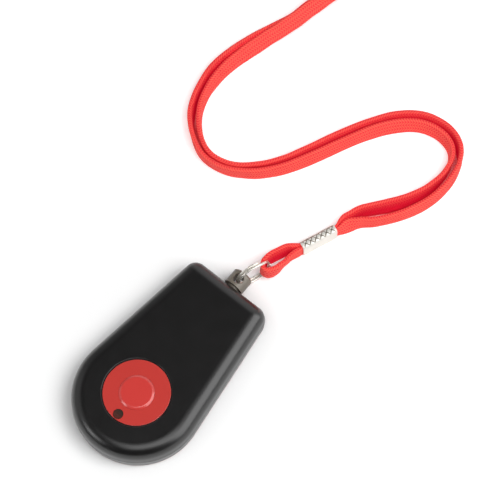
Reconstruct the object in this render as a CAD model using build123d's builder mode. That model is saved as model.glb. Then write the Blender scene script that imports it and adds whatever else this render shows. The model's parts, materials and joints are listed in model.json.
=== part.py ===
from build123d import *
import os
from math import acos, atan2, cos, degrees, hypot, radians, sin, sqrt, tan

os.makedirs("parts", exist_ok=True)

# Pendant alarm button on a neck strap, in millimetres.
# The origin is under the centre of the round end, on the back face. +Y runs along the
# case to its swivel, +Z points out of the button.

# Case
end_radius = 21.0
case_length = 46.4
side_taper = 7.3
corner_radius = 4.1
case_height = 12.7
parting_height = 6.3
draft = 5
top_fillet = 4.4
bottom_fillet = 2.2
wall = 1.8
face_wall = 1.6
lip_height = 1.0
lip_inset = 0.95
lip_thickness = 0.75
lip_play = 0.05
lip_floor_play = 0.1
cavity_fillet = 2.4
parting_chamfer = 0.12
root = 0.2
through = 2 * case_height

# Red overlay, dome and light pipe
recess_radius = 11.05
recess_depth = 0.5
recess_edge = 0.2
label_radius = 10.7
label_thickness = 0.3
label_edge = 0.12
dome_radius = 5.6
dome_flat_radius = 4.9
dome_gap = 0.05
dome_rise = 0.45
dome_edge = 0.6
dome_well_depth = 1.0
dome_well_play = 0.3
dome_end_play = 0.1
well_backing_radius = 6.5
well_backing_thickness = 0.6
button_travel = 0.4
plunger_radius = 1.6
window_radius = 1.55
window_y = -8.9
window_play = 0.1
window_sink = 0.05
pipe_reach = 1.5
pipe_flange_radius = 2.2
pipe_flange_thickness = 0.5

# Inside the case
pcb_bottom = 5.4
pcb_thickness = 1.0
pcb_inset = 2.9
boss_radius = 2.3
boss_clearance = 0.5
pilot_play = 0.05
pilot_depth = 3.6
shank_play = 0.15
shank_reach = 3.2
head_play = 0.25
drive_length = 2.2
drive_width = 0.45
drive_depth = 0.6
screw_places = [(-14.0, -8.5), (14.0, -8.5), (-10.6, 37.5), (10.6, 37.5)]
screw_shank_radius = 0.9
screw_head_radius = 1.9
screw_head_height = 1.3
screw_head_recess = 1.8
post_places = [(-12.4, 15.0), (12.4, 15.0)]
post_radius = 2.0
post_hole_radius = 0.75
post_hole_depth = 2.9
board_hole_radius = 0.85
board_screw_head = (1.5, 0.9)
board_screw_shank = (0.7, 3.6)
cell_centre_y = 2.0
cell_radius = 10.0
cell_height = 3.2
cell_step = (1.0, 0.6)
cell_edge = 0.3
cell_top_gap = 0.16
pad_radius = 6.5
holder_wall = 1.2
holder_play = 0.15
holder_raise = 0.3
holder_notch = (9.0, 6.0)
clip_thickness = 0.25
clip_width = 5.0
clip_play = 0.5
clip_slot = (7.0, 2.0)
clip_drop = 0.02
switch_side = 6.0
switch_body_height = 3.4
switch_corner = 0.5
switch_floor = 1.6
cover_side = 5.6
cover_thickness = 0.3
stem_radius = 1.7
stem_height = 0.6
stem_foot = 2.1
stem_edge = 0.2
stem_gap = 0.05
antenna_wire_radius = 0.4
antenna_rise = 2.6
antenna_bend = 1.2

# Parts on the board: where each stands, its length and width, and its height
led_base = (2.8, 1.6, 0.6)
led_lens = (1.6, 1.4, 0.6)
led_draft = 8
chip_place = (-5.0, 29.5)
chip_body = (4.4, 5.0, 1.0)
chip_standoff = 0.1
chip_pin = (1.2, 0.4, 0.35)
chip_pin_grid = (5.6, 1.27, 2, 4)
radio_place = (0, 17.5)
radio_base = (11.0, 9.0, 0.6)
radio_can = (8.6, 6.6, 1.4)
radio_can_edge = 0.3
crystal_place = (4.6, 29.5)
crystal_size = (6.2, 3.0, 2.2)
crystal_edge = 0.4
capacitor_size = (2.0, 1.2, 0.9)
capacitor_places = [(-9.0, 22.0), (-9.0, 25.0), (9.6, 24.5), (9.6, 27.5), (-6.0, -8.0), (-6.0, -11.0)]
resistor_size = (1.6, 0.8, 0.5)
resistor_places = [(6.0, -8.0), (6.0, -10.2), (6.0, -12.4), (0.2, 25.0), (0.2, 27.2), (0.2, 33.6)]

# Swivel eye at the narrow end
eye_radius = 3.45
eye_start = 47.0
eye_end = 52.3
eye_chamfer = 0.5
eye_hole_radius = 1.7
eye_hole_edge = 0.2
eye_hole_y = 49.6
neck_radius = 2.0
neck_gap = 0.08
flange_radius = 3.2
flange_thickness = 1.4
flange_gap = 0.3
flange_notch = (7.6, 8.4)

# Split ring, which stands on edge through the eye
ring_heading = 20.0
ring_mean_radius = 5.8
ring_wire_radius = 0.42
ring_turn_spacing = 0.78
ring_offset = 5.5
ring_cut = 0.25
ring_cut_angles = (62, 118)

# Flat braided strap, on edge
strap_width = 5.8
strap_thickness = 1.6
strap_edge = 0.9
strap_bevel = 0.7
strap_middle_height = 3.25
pair_half_gap = 0.85

# Crimped ferrule, which squeezes two layers of strap, and the small loop that holds the ring
ferrule_heading = 21.5
ferrule_start = (8.05, 71.74)
ferrule_length = 12.2
ferrule_wall = 0.3
ferrule_width = 2.5
ferrule_height = 6.5
ferrule_corner = 0.8
clamped_thickness = 0.9
clamped_width = 5.7
clamped_play = 0.02
seam_width = 0.35
seam_sideways = 0.35
mark_count = 6
mark_pitch = 1.75
mark_side = 1.0
mark_depth = 0.22
mark_taper = 45
mark_sideways = 0.2
loop_tip_distance = 7.9
loop_radius = 3.4
loop_end_height = 5.8
loop_lead = 1.0
loop_crotch = 2.0

# Strap put away as one doubled turn with an open bight
coil_radius = 35.0
coil_spacing = 2.8
coil_centre = (-71.4, 171.0)
coil_lead = 6.0
bight_radius = 8.0
bight_return_radius = 10.0
half_turns = 3
inner_end_angle = 20.0
tie_angle = 10.0
tie_width = 4.0
tie_thickness = 0.3
tie_gap = 0.15
tie_corner = 0.8

# Route of each strand from the ferrule to the put-away turn, seen from above
outer_route = [
    (13.33, 82.83), (14.50, 85.81), (16.9, 90.7), (22.0, 95.3), (26.3, 102.1), (30.1, 110.1),
    (31.0, 117.8), (30.5, 123.9), (28.5, 129.3), (23.8, 133.2), (17.6, 134.2), (10.4, 132.7),
    (3.7, 127.7), (-1.8, 120.2), (-6.7, 110.9), (-11.4, 100.6), (-16.4, 90.9), (-22.4, 83.9),
    (-29.2, 79.3), (-36.5, 78.2), (-43.5, 81.8), (-48.9, 87.5), (-51.8, 95.7), (-52.2, 106.4),
    (-49.2, 117.9), (-45.1, 128.7), (-41.7, 139.3), (-38.3, 150.3), (-36.4, 160.5), (-36.4, 165.0),
]
inner_route = [
    (11.75, 83.45), (12.92, 86.43), (13.7, 92.9), (18.2, 98.1), (23.0, 104.1), (26.7, 111.3),
    (27.8, 118.1), (27.6, 123.5), (26.1, 127.8), (22.8, 130.4), (17.8, 131.4), (11.6, 130.1),
    (6.0, 125.9), (0.5, 118.8), (-4.2, 109.6), (-8.9, 99.3), (-14.1, 89.4), (-20.5, 81.8),
    (-28.0, 76.7), (-37.2, 75.5), (-45.1, 79.5), (-51.4, 85.8), (-54.7, 95.2), (-55.1, 106.8),
    (-52.0, 118.9), (-47.7, 129.6), (-44.6, 140.2), (-41.1, 150.8), (-39.2, 160.5), (-39.2, 165.0),
]

tolerance = 0.01

# Heights and directions worked out from the sizes above
pcb_top = pcb_bottom + pcb_thickness
cavity_top = case_height - face_wall
recess_floor = case_height - recess_depth
label_top = recess_floor + label_thickness
dome_top = label_top + dome_rise
well_floor = recess_floor - dome_well_depth
switch_top = pcb_top + switch_body_height
stem_top = switch_top + stem_height
plunger_bottom = stem_top + stem_gap
dome_bottom = well_floor + button_travel + dome_end_play
neck_plane = Plane(origin=(0, case_length + 1, parting_height), x_dir=(1, 0, 0), z_dir=(0, -1, 0))
neck_hole_depth = wall + 2
ring_line = (sin(radians(ring_heading)), cos(radians(ring_heading)))
ferrule_line = (sin(radians(ferrule_heading)), cos(radians(ferrule_heading)))


def finish(piece, name):
    """Label a finished piece and write it."""
    piece.part.label = name
    export_step(piece.part, f"parts/{name}.step")


def turn_radii(points):
    """Radius of the arc at each inner point of a route."""
    radii = []
    for before, here, after in zip(points, points[1:], points[2:]):
        arriving = Vector(*here) - Vector(*before)
        leaving = Vector(*after) - Vector(*here)
        half_turn = radians(arriving.get_angle(leaving)) / 2
        radii.append(0.45 * min(arriving.length, leaving.length) / tan(half_turn))
    return radii


def strap_section():
    """Half outline of the flat braid: thick in the middle, thin at its edges."""
    half = strap_thickness / 2
    tall = strap_width / 2
    edge = strap_edge / 2
    shoulder = tall - strap_bevel
    return [(half, shoulder), (edge, tall), (-edge, tall), (-half, shoulder),
            (-half, -shoulder), (-edge, -tall), (edge, -tall), (half, -shoulder)]


def offset_along(start, line, distance, sideways=0.0):
    """A point a distance along a heading, moved sideways to its right."""
    return (start[0] + line[0] * distance + line[1] * sideways,
            start[1] + line[1] * distance - line[0] * sideways)


# Plan outline of the case: a round end, tapering sides and a square end with round corners.
# The inset keeps the two shells' walls and their lip parallel to it.
def case_outline(inset=0.0):
    radius = end_radius - inset
    corner = max(corner_radius - inset, 0.6)
    end_y = case_length - inset
    taper = radians(side_taper)
    tangent = (radius * cos(taper), radius * sin(taper))
    end_x = (radius - end_y * sin(taper)) / cos(taper)
    with BuildSketch() as outline:
        with BuildLine():
            ThreePointArc((-tangent[0], tangent[1]), (0, -radius), tangent)
            Line(tangent, (end_x, end_y))
            Line((end_x, end_y), (-end_x, end_y))
            Line((-end_x, end_y), (-tangent[0], tangent[1]))
        make_face()
        fillet(outline.vertices().group_by(Axis.Y)[-1], radius=corner)
    return outline.sketch


# Bottom shell: floor, wall with a rebate for the lip, screw bosses and board posts
with BuildPart() as bottom_shell:
    with BuildSketch(Plane.XY.offset(parting_height)):
        add(case_outline())
    extrude(amount=-parting_height, taper=draft)
    fillet(bottom_shell.faces().sort_by(Axis.Z)[0].edges(), radius=bottom_fillet)
    chamfer(bottom_shell.faces().sort_by(Axis.Z)[-1].edges(), length=parting_chamfer)
    with BuildSketch(Plane.XY.offset(face_wall)):
        add(case_outline(wall))
    extrude(amount=case_height, mode=Mode.SUBTRACT)
    with BuildSketch(Plane.XY.offset(parting_height - lip_height - lip_floor_play)):
        add(case_outline(lip_inset - lip_play))
    extrude(amount=case_height, mode=Mode.SUBTRACT)
    with BuildSketch(Plane.XY.offset(face_wall - root)):
        with Locations(*screw_places):
            Circle(boss_radius)
    extrude(amount=parting_height - face_wall + root)
    with BuildSketch(Plane.XY.offset(face_wall - root)):
        with Locations(*post_places):
            Circle(post_radius)
    extrude(amount=pcb_bottom - face_wall + root)
    with Locations(*[(x, y, 0) for x, y in screw_places]):
        Hole(screw_shank_radius + shank_play, depth=through)
    with BuildSketch(Plane.XY):
        with Locations(*screw_places):
            Circle(screw_head_radius + head_play)
    extrude(amount=screw_head_recess, mode=Mode.SUBTRACT)
    with BuildSketch(Plane.XY.offset(pcb_bottom)):
        with Locations(*post_places):
            Circle(post_hole_radius)
    extrude(amount=-post_hole_depth, mode=Mode.SUBTRACT)
    with BuildSketch(neck_plane):
        Circle(neck_radius + neck_gap)
    extrude(amount=neck_hole_depth, mode=Mode.SUBTRACT)
finish(bottom_shell, "bottom_shell")

# Top shell: drafted wall under a large round shoulder, recess, well and screw bosses
with BuildPart() as top_shell:
    with BuildSketch(Plane.XY.offset(parting_height)):
        add(case_outline())
    extrude(amount=case_height - parting_height, taper=draft)
    fillet(top_shell.faces().sort_by(Axis.Z)[-1].edges(), radius=top_fillet)
    chamfer(top_shell.faces().sort_by(Axis.Z)[0].edges(), length=parting_chamfer)
    with BuildSketch(Plane.XY.offset(parting_height)):
        add(case_outline(lip_inset))
    extrude(amount=-lip_height)
    with BuildSketch(Plane.XY.offset(parting_height - lip_height)):
        add(case_outline(lip_inset + lip_thickness))
    extrude(amount=lip_height, mode=Mode.SUBTRACT)
    with BuildSketch(Plane.XY.offset(parting_height)):
        add(case_outline(wall))
    extrude(amount=cavity_top - parting_height, mode=Mode.SUBTRACT)
    cavity_edge = top_shell.edges().filter_by_position(Axis.Z, cavity_top - tolerance, cavity_top + tolerance)
    fillet(cavity_edge, radius=cavity_fillet)
    with BuildSketch(Plane.XY.offset(parting_height)):
        with Locations(*screw_places):
            Circle(boss_radius)
    extrude(amount=cavity_top - parting_height + root)
    with BuildSketch(Plane.XY.offset(case_height)):
        Circle(recess_radius)
    extrude(amount=-recess_depth, mode=Mode.SUBTRACT)
    recess_rim = top_shell.edges().filter_by(GeomType.CIRCLE).group_by(Axis.Z)[-1]
    fillet(recess_rim.sort_by(SortBy.RADIUS)[:1], radius=recess_edge)
    with BuildSketch(Plane.XY.offset(recess_floor)):
        Circle(dome_radius + dome_well_play)
    extrude(amount=-dome_well_depth, mode=Mode.SUBTRACT)
    with BuildSketch(Plane.XY.offset(cavity_top - well_backing_thickness)):
        Circle(well_backing_radius)
    extrude(amount=well_backing_thickness)
    with BuildSketch(Plane.XY.offset(case_height)):
        Circle(plunger_radius + dome_gap)
        with Locations((0, window_y)):
            Circle(window_radius + window_play)
    extrude(amount=pcb_top - case_height, mode=Mode.SUBTRACT)
    with BuildSketch(Plane.XY.offset(parting_height)):
        with Locations(*screw_places):
            Circle(screw_shank_radius + pilot_play)
    extrude(amount=pilot_depth, mode=Mode.SUBTRACT)
    with BuildSketch(neck_plane):
        Circle(neck_radius + neck_gap)
    extrude(amount=neck_hole_depth, mode=Mode.SUBTRACT)
finish(top_shell, "top_shell")

# Red overlay with its holes for the dome and the light pipe
with BuildPart() as button_label:
    with BuildSketch(Plane.XY.offset(recess_floor)):
        Circle(label_radius)
        Circle(dome_radius + dome_gap, mode=Mode.SUBTRACT)
        with Locations((0, window_y)):
            Circle(window_radius + window_play, mode=Mode.SUBTRACT)
    extrude(amount=label_thickness)
    fillet(button_label.edges().group_by(Axis.Z)[-1].sort_by(SortBy.RADIUS)[-1:], radius=label_edge)
finish(button_label, "button_label")

# Raised dome that the finger presses, with a sloping embossed edge
with BuildPart() as button_dome:
    with BuildSketch(Plane.XZ):
        Polygon((0, dome_bottom), (dome_radius, dome_bottom), (dome_radius, label_top),
                (dome_flat_radius, dome_top), (0, dome_top), align=None)
    revolve(axis=Axis.Z)
    fillet(button_dome.edges().group_by(Axis.Z)[-1], radius=dome_edge)
finish(button_dome, "button_dome")

# Plunger between the dome and the switch, guided by the shell
with BuildPart() as button_plunger:
    with BuildSketch(Plane.XY.offset(plunger_bottom)):
        Circle(plunger_radius)
    extrude(amount=dome_bottom - plunger_bottom)
finish(button_plunger, "button_plunger")

# Smoked light pipe over the indicator light
pipe_bottom = pcb_top + pipe_reach
with BuildPart() as light_pipe:
    with BuildSketch(Plane.XY.offset(pipe_bottom)):
        with Locations((0, window_y)):
            Circle(window_radius)
    extrude(amount=label_top - window_sink - pipe_bottom)
    with BuildSketch(Plane.XY.offset(cavity_top)):
        with Locations((0, window_y)):
            Circle(pipe_flange_radius)
    extrude(amount=-pipe_flange_thickness)
finish(light_pipe, "light_pipe")

# Circuit board, cut round the screw bosses
with BuildPart() as circuit_board:
    with BuildSketch(Plane.XY.offset(pcb_bottom)):
        add(case_outline(pcb_inset))
        with Locations(*screw_places):
            Circle(boss_radius + boss_clearance, mode=Mode.SUBTRACT)
        with Locations((0, case_length - wall)):
            Rectangle(*flange_notch, mode=Mode.SUBTRACT)
        with Locations(*post_places):
            Circle(board_hole_radius, mode=Mode.SUBTRACT)
    extrude(amount=pcb_thickness)
finish(circuit_board, "circuit_board")

with BuildPart() as board_screws:
    for radius, height in (board_screw_head, (board_screw_shank[0], -board_screw_shank[1])):
        with BuildSketch(Plane.XY.offset(pcb_top)):
            with Locations(*post_places):
                Circle(radius)
        extrude(amount=height)
finish(board_screws, "board_screws")

# Push switch: moulded body, metal cover plate and the stem that moves
with BuildPart() as switch_body:
    with BuildSketch(Plane.XY.offset(pcb_top)):
        Rectangle(switch_side, switch_side)
    extrude(amount=switch_body_height - cover_thickness)
    chamfer(switch_body.edges().filter_by(Axis.Z), length=switch_corner)
    with BuildSketch(Plane.XY.offset(pcb_top + switch_floor)):
        Circle(stem_radius + dome_gap)
    extrude(amount=switch_body_height, mode=Mode.SUBTRACT)
finish(switch_body, "switch_body")

with BuildPart() as switch_cover:
    with BuildSketch(Plane.XY.offset(switch_top - cover_thickness)):
        Rectangle(cover_side, cover_side)
        Circle(stem_radius + dome_gap, mode=Mode.SUBTRACT)
    extrude(amount=cover_thickness)
finish(switch_cover, "switch_cover")

with BuildPart() as switch_stem:
    with BuildSketch(Plane.XY.offset(pcb_top + stem_foot)):
        Circle(stem_radius)
    extrude(amount=stem_top - pcb_top - stem_foot)
    chamfer(switch_stem.edges().group_by(Axis.Z)[-1], length=stem_edge)
finish(switch_stem, "switch_stem")

# Indicator light under the pipe
with BuildPart() as indicator_led:
    with BuildSketch(Plane.XY.offset(pcb_top)):
        with Locations((0, window_y)):
            Rectangle(*led_base[:2])
    extrude(amount=led_base[2])
    with BuildSketch(Plane.XY.offset(pcb_top + led_base[2])):
        with Locations((0, window_y)):
            Rectangle(*led_lens[:2])
    extrude(amount=led_lens[2], taper=led_draft)
finish(indicator_led, "indicator_led")

# Radio and logic parts on the board
with BuildPart() as controller_chip:
    with BuildSketch(Plane.XY.offset(pcb_top + chip_standoff)):
        with Locations(chip_place):
            Rectangle(*chip_body[:2])
    extrude(amount=chip_body[2])
    with BuildSketch(Plane.XY.offset(pcb_top)):
        with Locations(chip_place):
            with GridLocations(*chip_pin_grid):
                Rectangle(*chip_pin[:2])
    extrude(amount=chip_pin[2])
finish(controller_chip, "controller_chip")

with BuildPart() as radio_module:
    with BuildSketch(Plane.XY.offset(pcb_top)):
        with Locations(radio_place):
            Rectangle(*radio_base[:2])
    extrude(amount=radio_base[2])
    with BuildSketch(Plane.XY.offset(pcb_top + radio_base[2])):
        with Locations(radio_place):
            Rectangle(*radio_can[:2])
    extrude(amount=radio_can[2])
    chamfer(radio_module.edges().group_by(Axis.Z)[-1], length=radio_can_edge)
finish(radio_module, "radio_module")

with BuildPart() as crystal_can:
    with BuildSketch(Plane.XY.offset(pcb_top)):
        with Locations(crystal_place):
            SlotOverall(*crystal_size[:2], rotation=90)
    extrude(amount=crystal_size[2])
    fillet(crystal_can.edges().group_by(Axis.Z)[-1], radius=crystal_edge)
finish(crystal_can, "crystal_can")

with BuildPart() as capacitors:
    with BuildSketch(Plane.XY.offset(pcb_top)):
        with Locations(*capacitor_places):
            Rectangle(*capacitor_size[:2])
    extrude(amount=capacitor_size[2])
finish(capacitors, "capacitors")

with BuildPart() as resistors:
    with BuildSketch(Plane.XY.offset(pcb_top)):
        with Locations(*resistor_places):
            Rectangle(*resistor_size[:2])
    extrude(amount=resistor_size[2])
finish(resistors, "resistors")

# Wire loop antenna along the narrow end of the board
antenna_height = pcb_top + antenna_rise
antenna_points = [
    (-11.6, 21.5, pcb_top), (-11.6, 21.5, antenna_height), (-10.9, 26.0, antenna_height),
    (-7.0, 34.0, antenna_height), (7.0, 34.0, antenna_height), (10.9, 26.0, antenna_height),
    (11.6, 21.5, antenna_height), (11.6, 21.5, pcb_top),
]
with BuildPart() as antenna_wire:
    with BuildLine() as antenna_path:
        FilletPolyline(*antenna_points, radius=antenna_bend)
    with BuildSketch(antenna_path.line ^ 0):
        Circle(antenna_wire_radius)
    sweep()
finish(antenna_wire, "antenna_wire")

# Coin cell under the board, its holder and both contacts
cell_top = pcb_bottom - cell_top_gap
cell_bottom = cell_top - cell_height
cell_step_inset, cell_step_height = cell_step
with BuildPart() as coin_cell:
    with BuildSketch(Plane.XY.offset(cell_bottom)):
        with Locations((0, cell_centre_y)):
            Circle(cell_radius)
    extrude(amount=cell_height - cell_step_height)
    with BuildSketch(Plane.XY.offset(cell_top - cell_step_height)):
        with Locations((0, cell_centre_y)):
            Circle(cell_radius - cell_step_inset)
    extrude(amount=cell_step_height)
    fillet(coin_cell.edges().group_by(Axis.Z)[0], radius=cell_edge)
finish(coin_cell, "coin_cell")

with BuildPart() as cell_holder:
    with BuildSketch(Plane.XY.offset(cell_bottom + holder_raise)):
        with Locations((0, cell_centre_y)):
            Circle(cell_radius + holder_play + holder_wall)
            Circle(cell_radius + holder_play, mode=Mode.SUBTRACT)
        with Locations((0, cell_centre_y - cell_radius)):
            Rectangle(*holder_notch, mode=Mode.SUBTRACT)
    extrude(amount=pcb_bottom - cell_bottom - holder_raise)
finish(cell_holder, "cell_holder")

clip_reach = cell_radius + holder_wall + clip_play
clip_floor = cell_bottom - clip_thickness - clip_drop
with BuildPart() as cell_clip:
    with BuildSketch(Plane.XY.offset(clip_floor)):
        with Locations((0, cell_centre_y)):
            Rectangle(2 * clip_reach + 2 * clip_thickness, clip_width)
            Rectangle(*clip_slot, mode=Mode.SUBTRACT)
    extrude(amount=clip_thickness)
    with BuildSketch(Plane.XY.offset(clip_floor)):
        with Locations((0, cell_centre_y)):
            with GridLocations(2 * clip_reach + clip_thickness, 1, 2, 1):
                Rectangle(clip_thickness, clip_width)
    extrude(amount=pcb_bottom - clip_floor)
finish(cell_clip, "cell_clip")

with BuildPart() as cell_pad:
    with BuildSketch(Plane.XY.offset(cell_top)):
        with Locations((0, cell_centre_y)):
            Circle(pad_radius)
    extrude(amount=cell_top_gap)
finish(cell_pad, "cell_pad")

# Screws that close the case from the back, with a cross drive
screw_top = parting_height + shank_reach
head_floor = screw_head_recess - screw_head_height
with BuildPart() as case_screws:
    with BuildSketch(Plane.XY.offset(head_floor)):
        with Locations(*screw_places):
            Circle(screw_head_radius)
    extrude(amount=screw_head_height)
    with BuildSketch(Plane.XY.offset(screw_head_recess)):
        with Locations(*screw_places):
            Circle(screw_shank_radius)
    extrude(amount=screw_top - screw_head_recess)
    with BuildSketch(Plane.XY.offset(head_floor)):
        with Locations(*screw_places):
            Rectangle(drive_length, drive_width)
            Rectangle(drive_width, drive_length)
    extrude(amount=drive_depth, mode=Mode.SUBTRACT)
finish(case_screws, "case_screws")

# Swivel eye: cross-drilled barrel, neck through the end wall and the flange that holds it
flange_end = case_length - wall - flange_gap
with BuildPart() as swivel_eye:
    for end, start, radius in ((eye_end, eye_start, eye_radius), (eye_start, flange_end, neck_radius),
                               (flange_end, flange_end - flange_thickness, flange_radius)):
        with BuildSketch(Plane(origin=(0, end, parting_height), x_dir=(1, 0, 0), z_dir=(0, -1, 0))):
            Circle(radius)
        extrude(amount=end - start)
    chamfer(swivel_eye.edges().group_by(Axis.Y)[-1], length=eye_chamfer)
    with BuildSketch(Plane.XY):
        with Locations((0, eye_hole_y)):
            Circle(eye_hole_radius)
    extrude(amount=case_height, mode=Mode.SUBTRACT)
    hole_rims = swivel_eye.faces().filter_by(GeomType.CYLINDER).sort_by(SortBy.AREA)
    hole_wall = [face for face in hole_rims if abs(face.axis_of_rotation.direction.Z) > 0.5][0]
    fillet(hole_wall.edges().filter_by(GeomType.LINE, reverse=True), radius=eye_hole_edge)
finish(swivel_eye, "swivel_eye")

# Split ring: two turns of wire side by side, each cut where it ends
ring_centre = offset_along((0, eye_hole_y), ring_line, ring_offset)
ring_plane = Plane(origin=(*ring_centre, parting_height), x_dir=(*ring_line, 0),
                   z_dir=(ring_line[1], -ring_line[0], 0))
with BuildPart() as split_ring:
    with BuildSketch(Plane(origin=ring_plane.origin, x_dir=ring_plane.x_dir, z_dir=(0, 0, 1))):
        with Locations((ring_mean_radius, 0)):
            with GridLocations(1, ring_turn_spacing, 1, 2):
                Circle(ring_wire_radius)
    revolve(axis=Axis(ring_plane.origin, ring_plane.z_dir))
    for side, cut_angle in zip((1, -1), ring_cut_angles):
        with BuildSketch(ring_plane):
            with PolarLocations(ring_mean_radius, 1, start_angle=cut_angle):
                Rectangle(4 * ring_wire_radius, ring_cut)
        extrude(amount=side * 2 * ring_wire_radius, mode=Mode.SUBTRACT)
finish(split_ring, "split_ring")

# Small loop of strap through the ring, in a plane that rises from the ferrule to the ring
loop_tip = offset_along((0, eye_hole_y), ring_line, loop_tip_distance)
loop_root = (*ferrule_start, strap_middle_height)
rise = loop_end_height - strap_middle_height
loop_reach = hypot(loop_tip[0] - ferrule_start[0], loop_tip[1] - ferrule_start[1])
loop_line = ((loop_tip[0] - ferrule_start[0]) / loop_reach, (loop_tip[1] - ferrule_start[1]) / loop_reach)
loop_slope = rise / loop_reach
loop_plane = Plane(origin=loop_root, x_dir=(*loop_line, loop_slope),
                   z_dir=(-loop_slope * loop_line[0], -loop_slope * loop_line[1], 1))
loop_length = sqrt(loop_reach ** 2 + rise ** 2)


def teardrop(radius, root_half, root_x):
    """Teardrop outline: an arc at the ring end with tangents down to the ferrule."""
    centre_x = loop_length - loop_radius
    span = hypot(centre_x - root_x, root_half)
    tangent_angle = atan2(root_half, root_x - centre_x) - acos(radius / span)
    touch = (centre_x + radius * cos(tangent_angle), radius * sin(tangent_angle))
    with BuildSketch(loop_plane) as drop:
        with BuildLine():
            Line((root_x, -root_half), (root_x, root_half))
            Line((root_x, root_half), touch)
            ThreePointArc(touch, (centre_x + radius, 0), (touch[0], -touch[1]))
            Line((touch[0], -touch[1]), (root_x, -root_half))
        make_face()
    return drop.sketch


with BuildPart() as ring_loop:
    add(extrude(teardrop(loop_radius, pair_half_gap + strap_thickness / 2, -loop_lead),
                amount=strap_width / 2, both=True))
    add(extrude(teardrop(loop_radius - strap_thickness, pair_half_gap - strap_thickness / 2, loop_crotch),
                amount=strap_width, both=True), mode=Mode.SUBTRACT)
    split(bisect_by=Plane(origin=loop_root, x_dir=(ferrule_line[1], -ferrule_line[0], 0),
                          z_dir=(-ferrule_line[0], -ferrule_line[1], 0)), keep=Keep.TOP)
finish(ring_loop, "ring_loop")

# Crimped ferrule: a folded metal tube with an open seam and a row of pressed marks
ferrule_plane = Plane(origin=(*ferrule_start, strap_middle_height),
                      x_dir=(ferrule_line[1], -ferrule_line[0], 0), z_dir=(*ferrule_line, 0))
ferrule_top = Plane(origin=(*ferrule_start, ferrule_height), x_dir=(*ferrule_line, 0), z_dir=(0, 0, 1))
with BuildPart() as ferrule:
    with BuildSketch(ferrule_plane):
        RectangleRounded(ferrule_width, ferrule_height, ferrule_corner)
        RectangleRounded(ferrule_width - 2 * ferrule_wall, ferrule_height - 2 * ferrule_wall,
                         ferrule_corner - ferrule_wall, mode=Mode.SUBTRACT)
        with Locations((-ferrule_width / 2 + seam_sideways, -ferrule_height / 2)):
            Rectangle(seam_width, 4 * ferrule_wall, mode=Mode.SUBTRACT)
    extrude(amount=ferrule_length)
    with BuildSketch(ferrule_top):
        with Locations((ferrule_length / 2, -mark_sideways)):
            with GridLocations(mark_pitch, 1, mark_count, 1):
                Rectangle(mark_side, mark_side)
    extrude(amount=-mark_depth, taper=mark_taper, mode=Mode.SUBTRACT)
finish(ferrule, "ferrule")

# Two layers of strap pressed together inside the ferrule
with BuildPart() as clamped_strap:
    with BuildSketch(ferrule_plane):
        with GridLocations(clamped_thickness + clamped_play, 1, 2, 1):
            RectangleRounded(clamped_thickness, clamped_width, clamped_thickness / 3)
    extrude(amount=ferrule_length)
finish(clamped_strap, "clamped_strap")


def strap_run(route):
    """Path of one strand: straight runs joined by tangent arcs."""
    points = [(x, y, strap_middle_height) for x, y in route]
    radii = turn_radii(points)
    with BuildLine() as run:
        FilletPolyline(*points, radius=radii)
    return run.wires()[0], radii


def section_plane(start, line):
    """Plane across a strand at its start, with its x to the right of the travel."""
    return Plane(origin=(*start, strap_middle_height), x_dir=(line[1], -line[0], 0), z_dir=(*line, 0))


outer_path, outer_radii = strap_run(outer_route)
with BuildPart() as outer_strand:
    with BuildSketch(section_plane(outer_route[0], ferrule_line)):
        Polygon(*strap_section(), align=None)
    sweep(path=outer_path)
finish(outer_strand, "outer_strand")

inner_path, inner_radii = strap_run(inner_route)
with BuildPart() as inner_strand:
    with BuildSketch(section_plane(inner_route[0], ferrule_line)):
        Polygon(*strap_section(), align=None)
    sweep(path=inner_path)
finish(inner_strand, "inner_strand")

# The put-away turn. Each half turn is an arc one spacing smaller than the last, about one
# of two centres, so the doubled strap winds inward at a steady rate. At its inner end the
# two strands open into a bight.
first_centre = Vector(*coil_centre)
second_centre = first_centre - Vector(coil_spacing, 0)
outer_radii_in_turn = [coil_radius - coil_spacing * step for step in range(half_turns)]
inner_radii_in_turn = [radius - coil_spacing for radius in outer_radii_in_turn]
bight_reach = outer_radii_in_turn[2] - bight_radius
return_reach = inner_radii_in_turn[2] - bight_return_radius
centre_span = bight_radius + bight_return_radius
opening = degrees(acos((bight_reach ** 2 + return_reach ** 2 - centre_span ** 2)
                       / (2 * bight_reach * return_reach)))
outer_end_angle = inner_end_angle + opening
bight_centre = first_centre + Vector(bight_reach, 0).rotate(Axis.Z, outer_end_angle)
return_centre = first_centre + Vector(return_reach, 0).rotate(Axis.Z, inner_end_angle)
between = return_centre - bight_centre
between_angle = degrees(atan2(between.Y, between.X))
bight_sweep = (between_angle - outer_end_angle) % 360
return_sweep = (between_angle + 180 - inner_end_angle) % 360
outer_entry = first_centre + Vector(outer_radii_in_turn[0], 0)
inner_entry = first_centre + Vector(inner_radii_in_turn[0], 0)
lead = Vector(0, -coil_lead)

with BuildLine(Plane.XY.offset(strap_middle_height)) as coil_path:
    Line(outer_entry + lead, outer_entry)
    CenterArc(first_centre, outer_radii_in_turn[0], 0, 180)
    CenterArc(second_centre, outer_radii_in_turn[1], 180, 180)
    CenterArc(first_centre, outer_radii_in_turn[2], 0, outer_end_angle)
    CenterArc(bight_centre, bight_radius, outer_end_angle, bight_sweep)
    CenterArc(return_centre, bight_return_radius, between_angle + 180, -return_sweep)
    CenterArc(first_centre, inner_radii_in_turn[2], inner_end_angle, -inner_end_angle)
    CenterArc(second_centre, inner_radii_in_turn[1], 0, -180)
    CenterArc(first_centre, inner_radii_in_turn[0], 180, -180)
    Line(inner_entry, inner_entry + lead)

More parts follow.
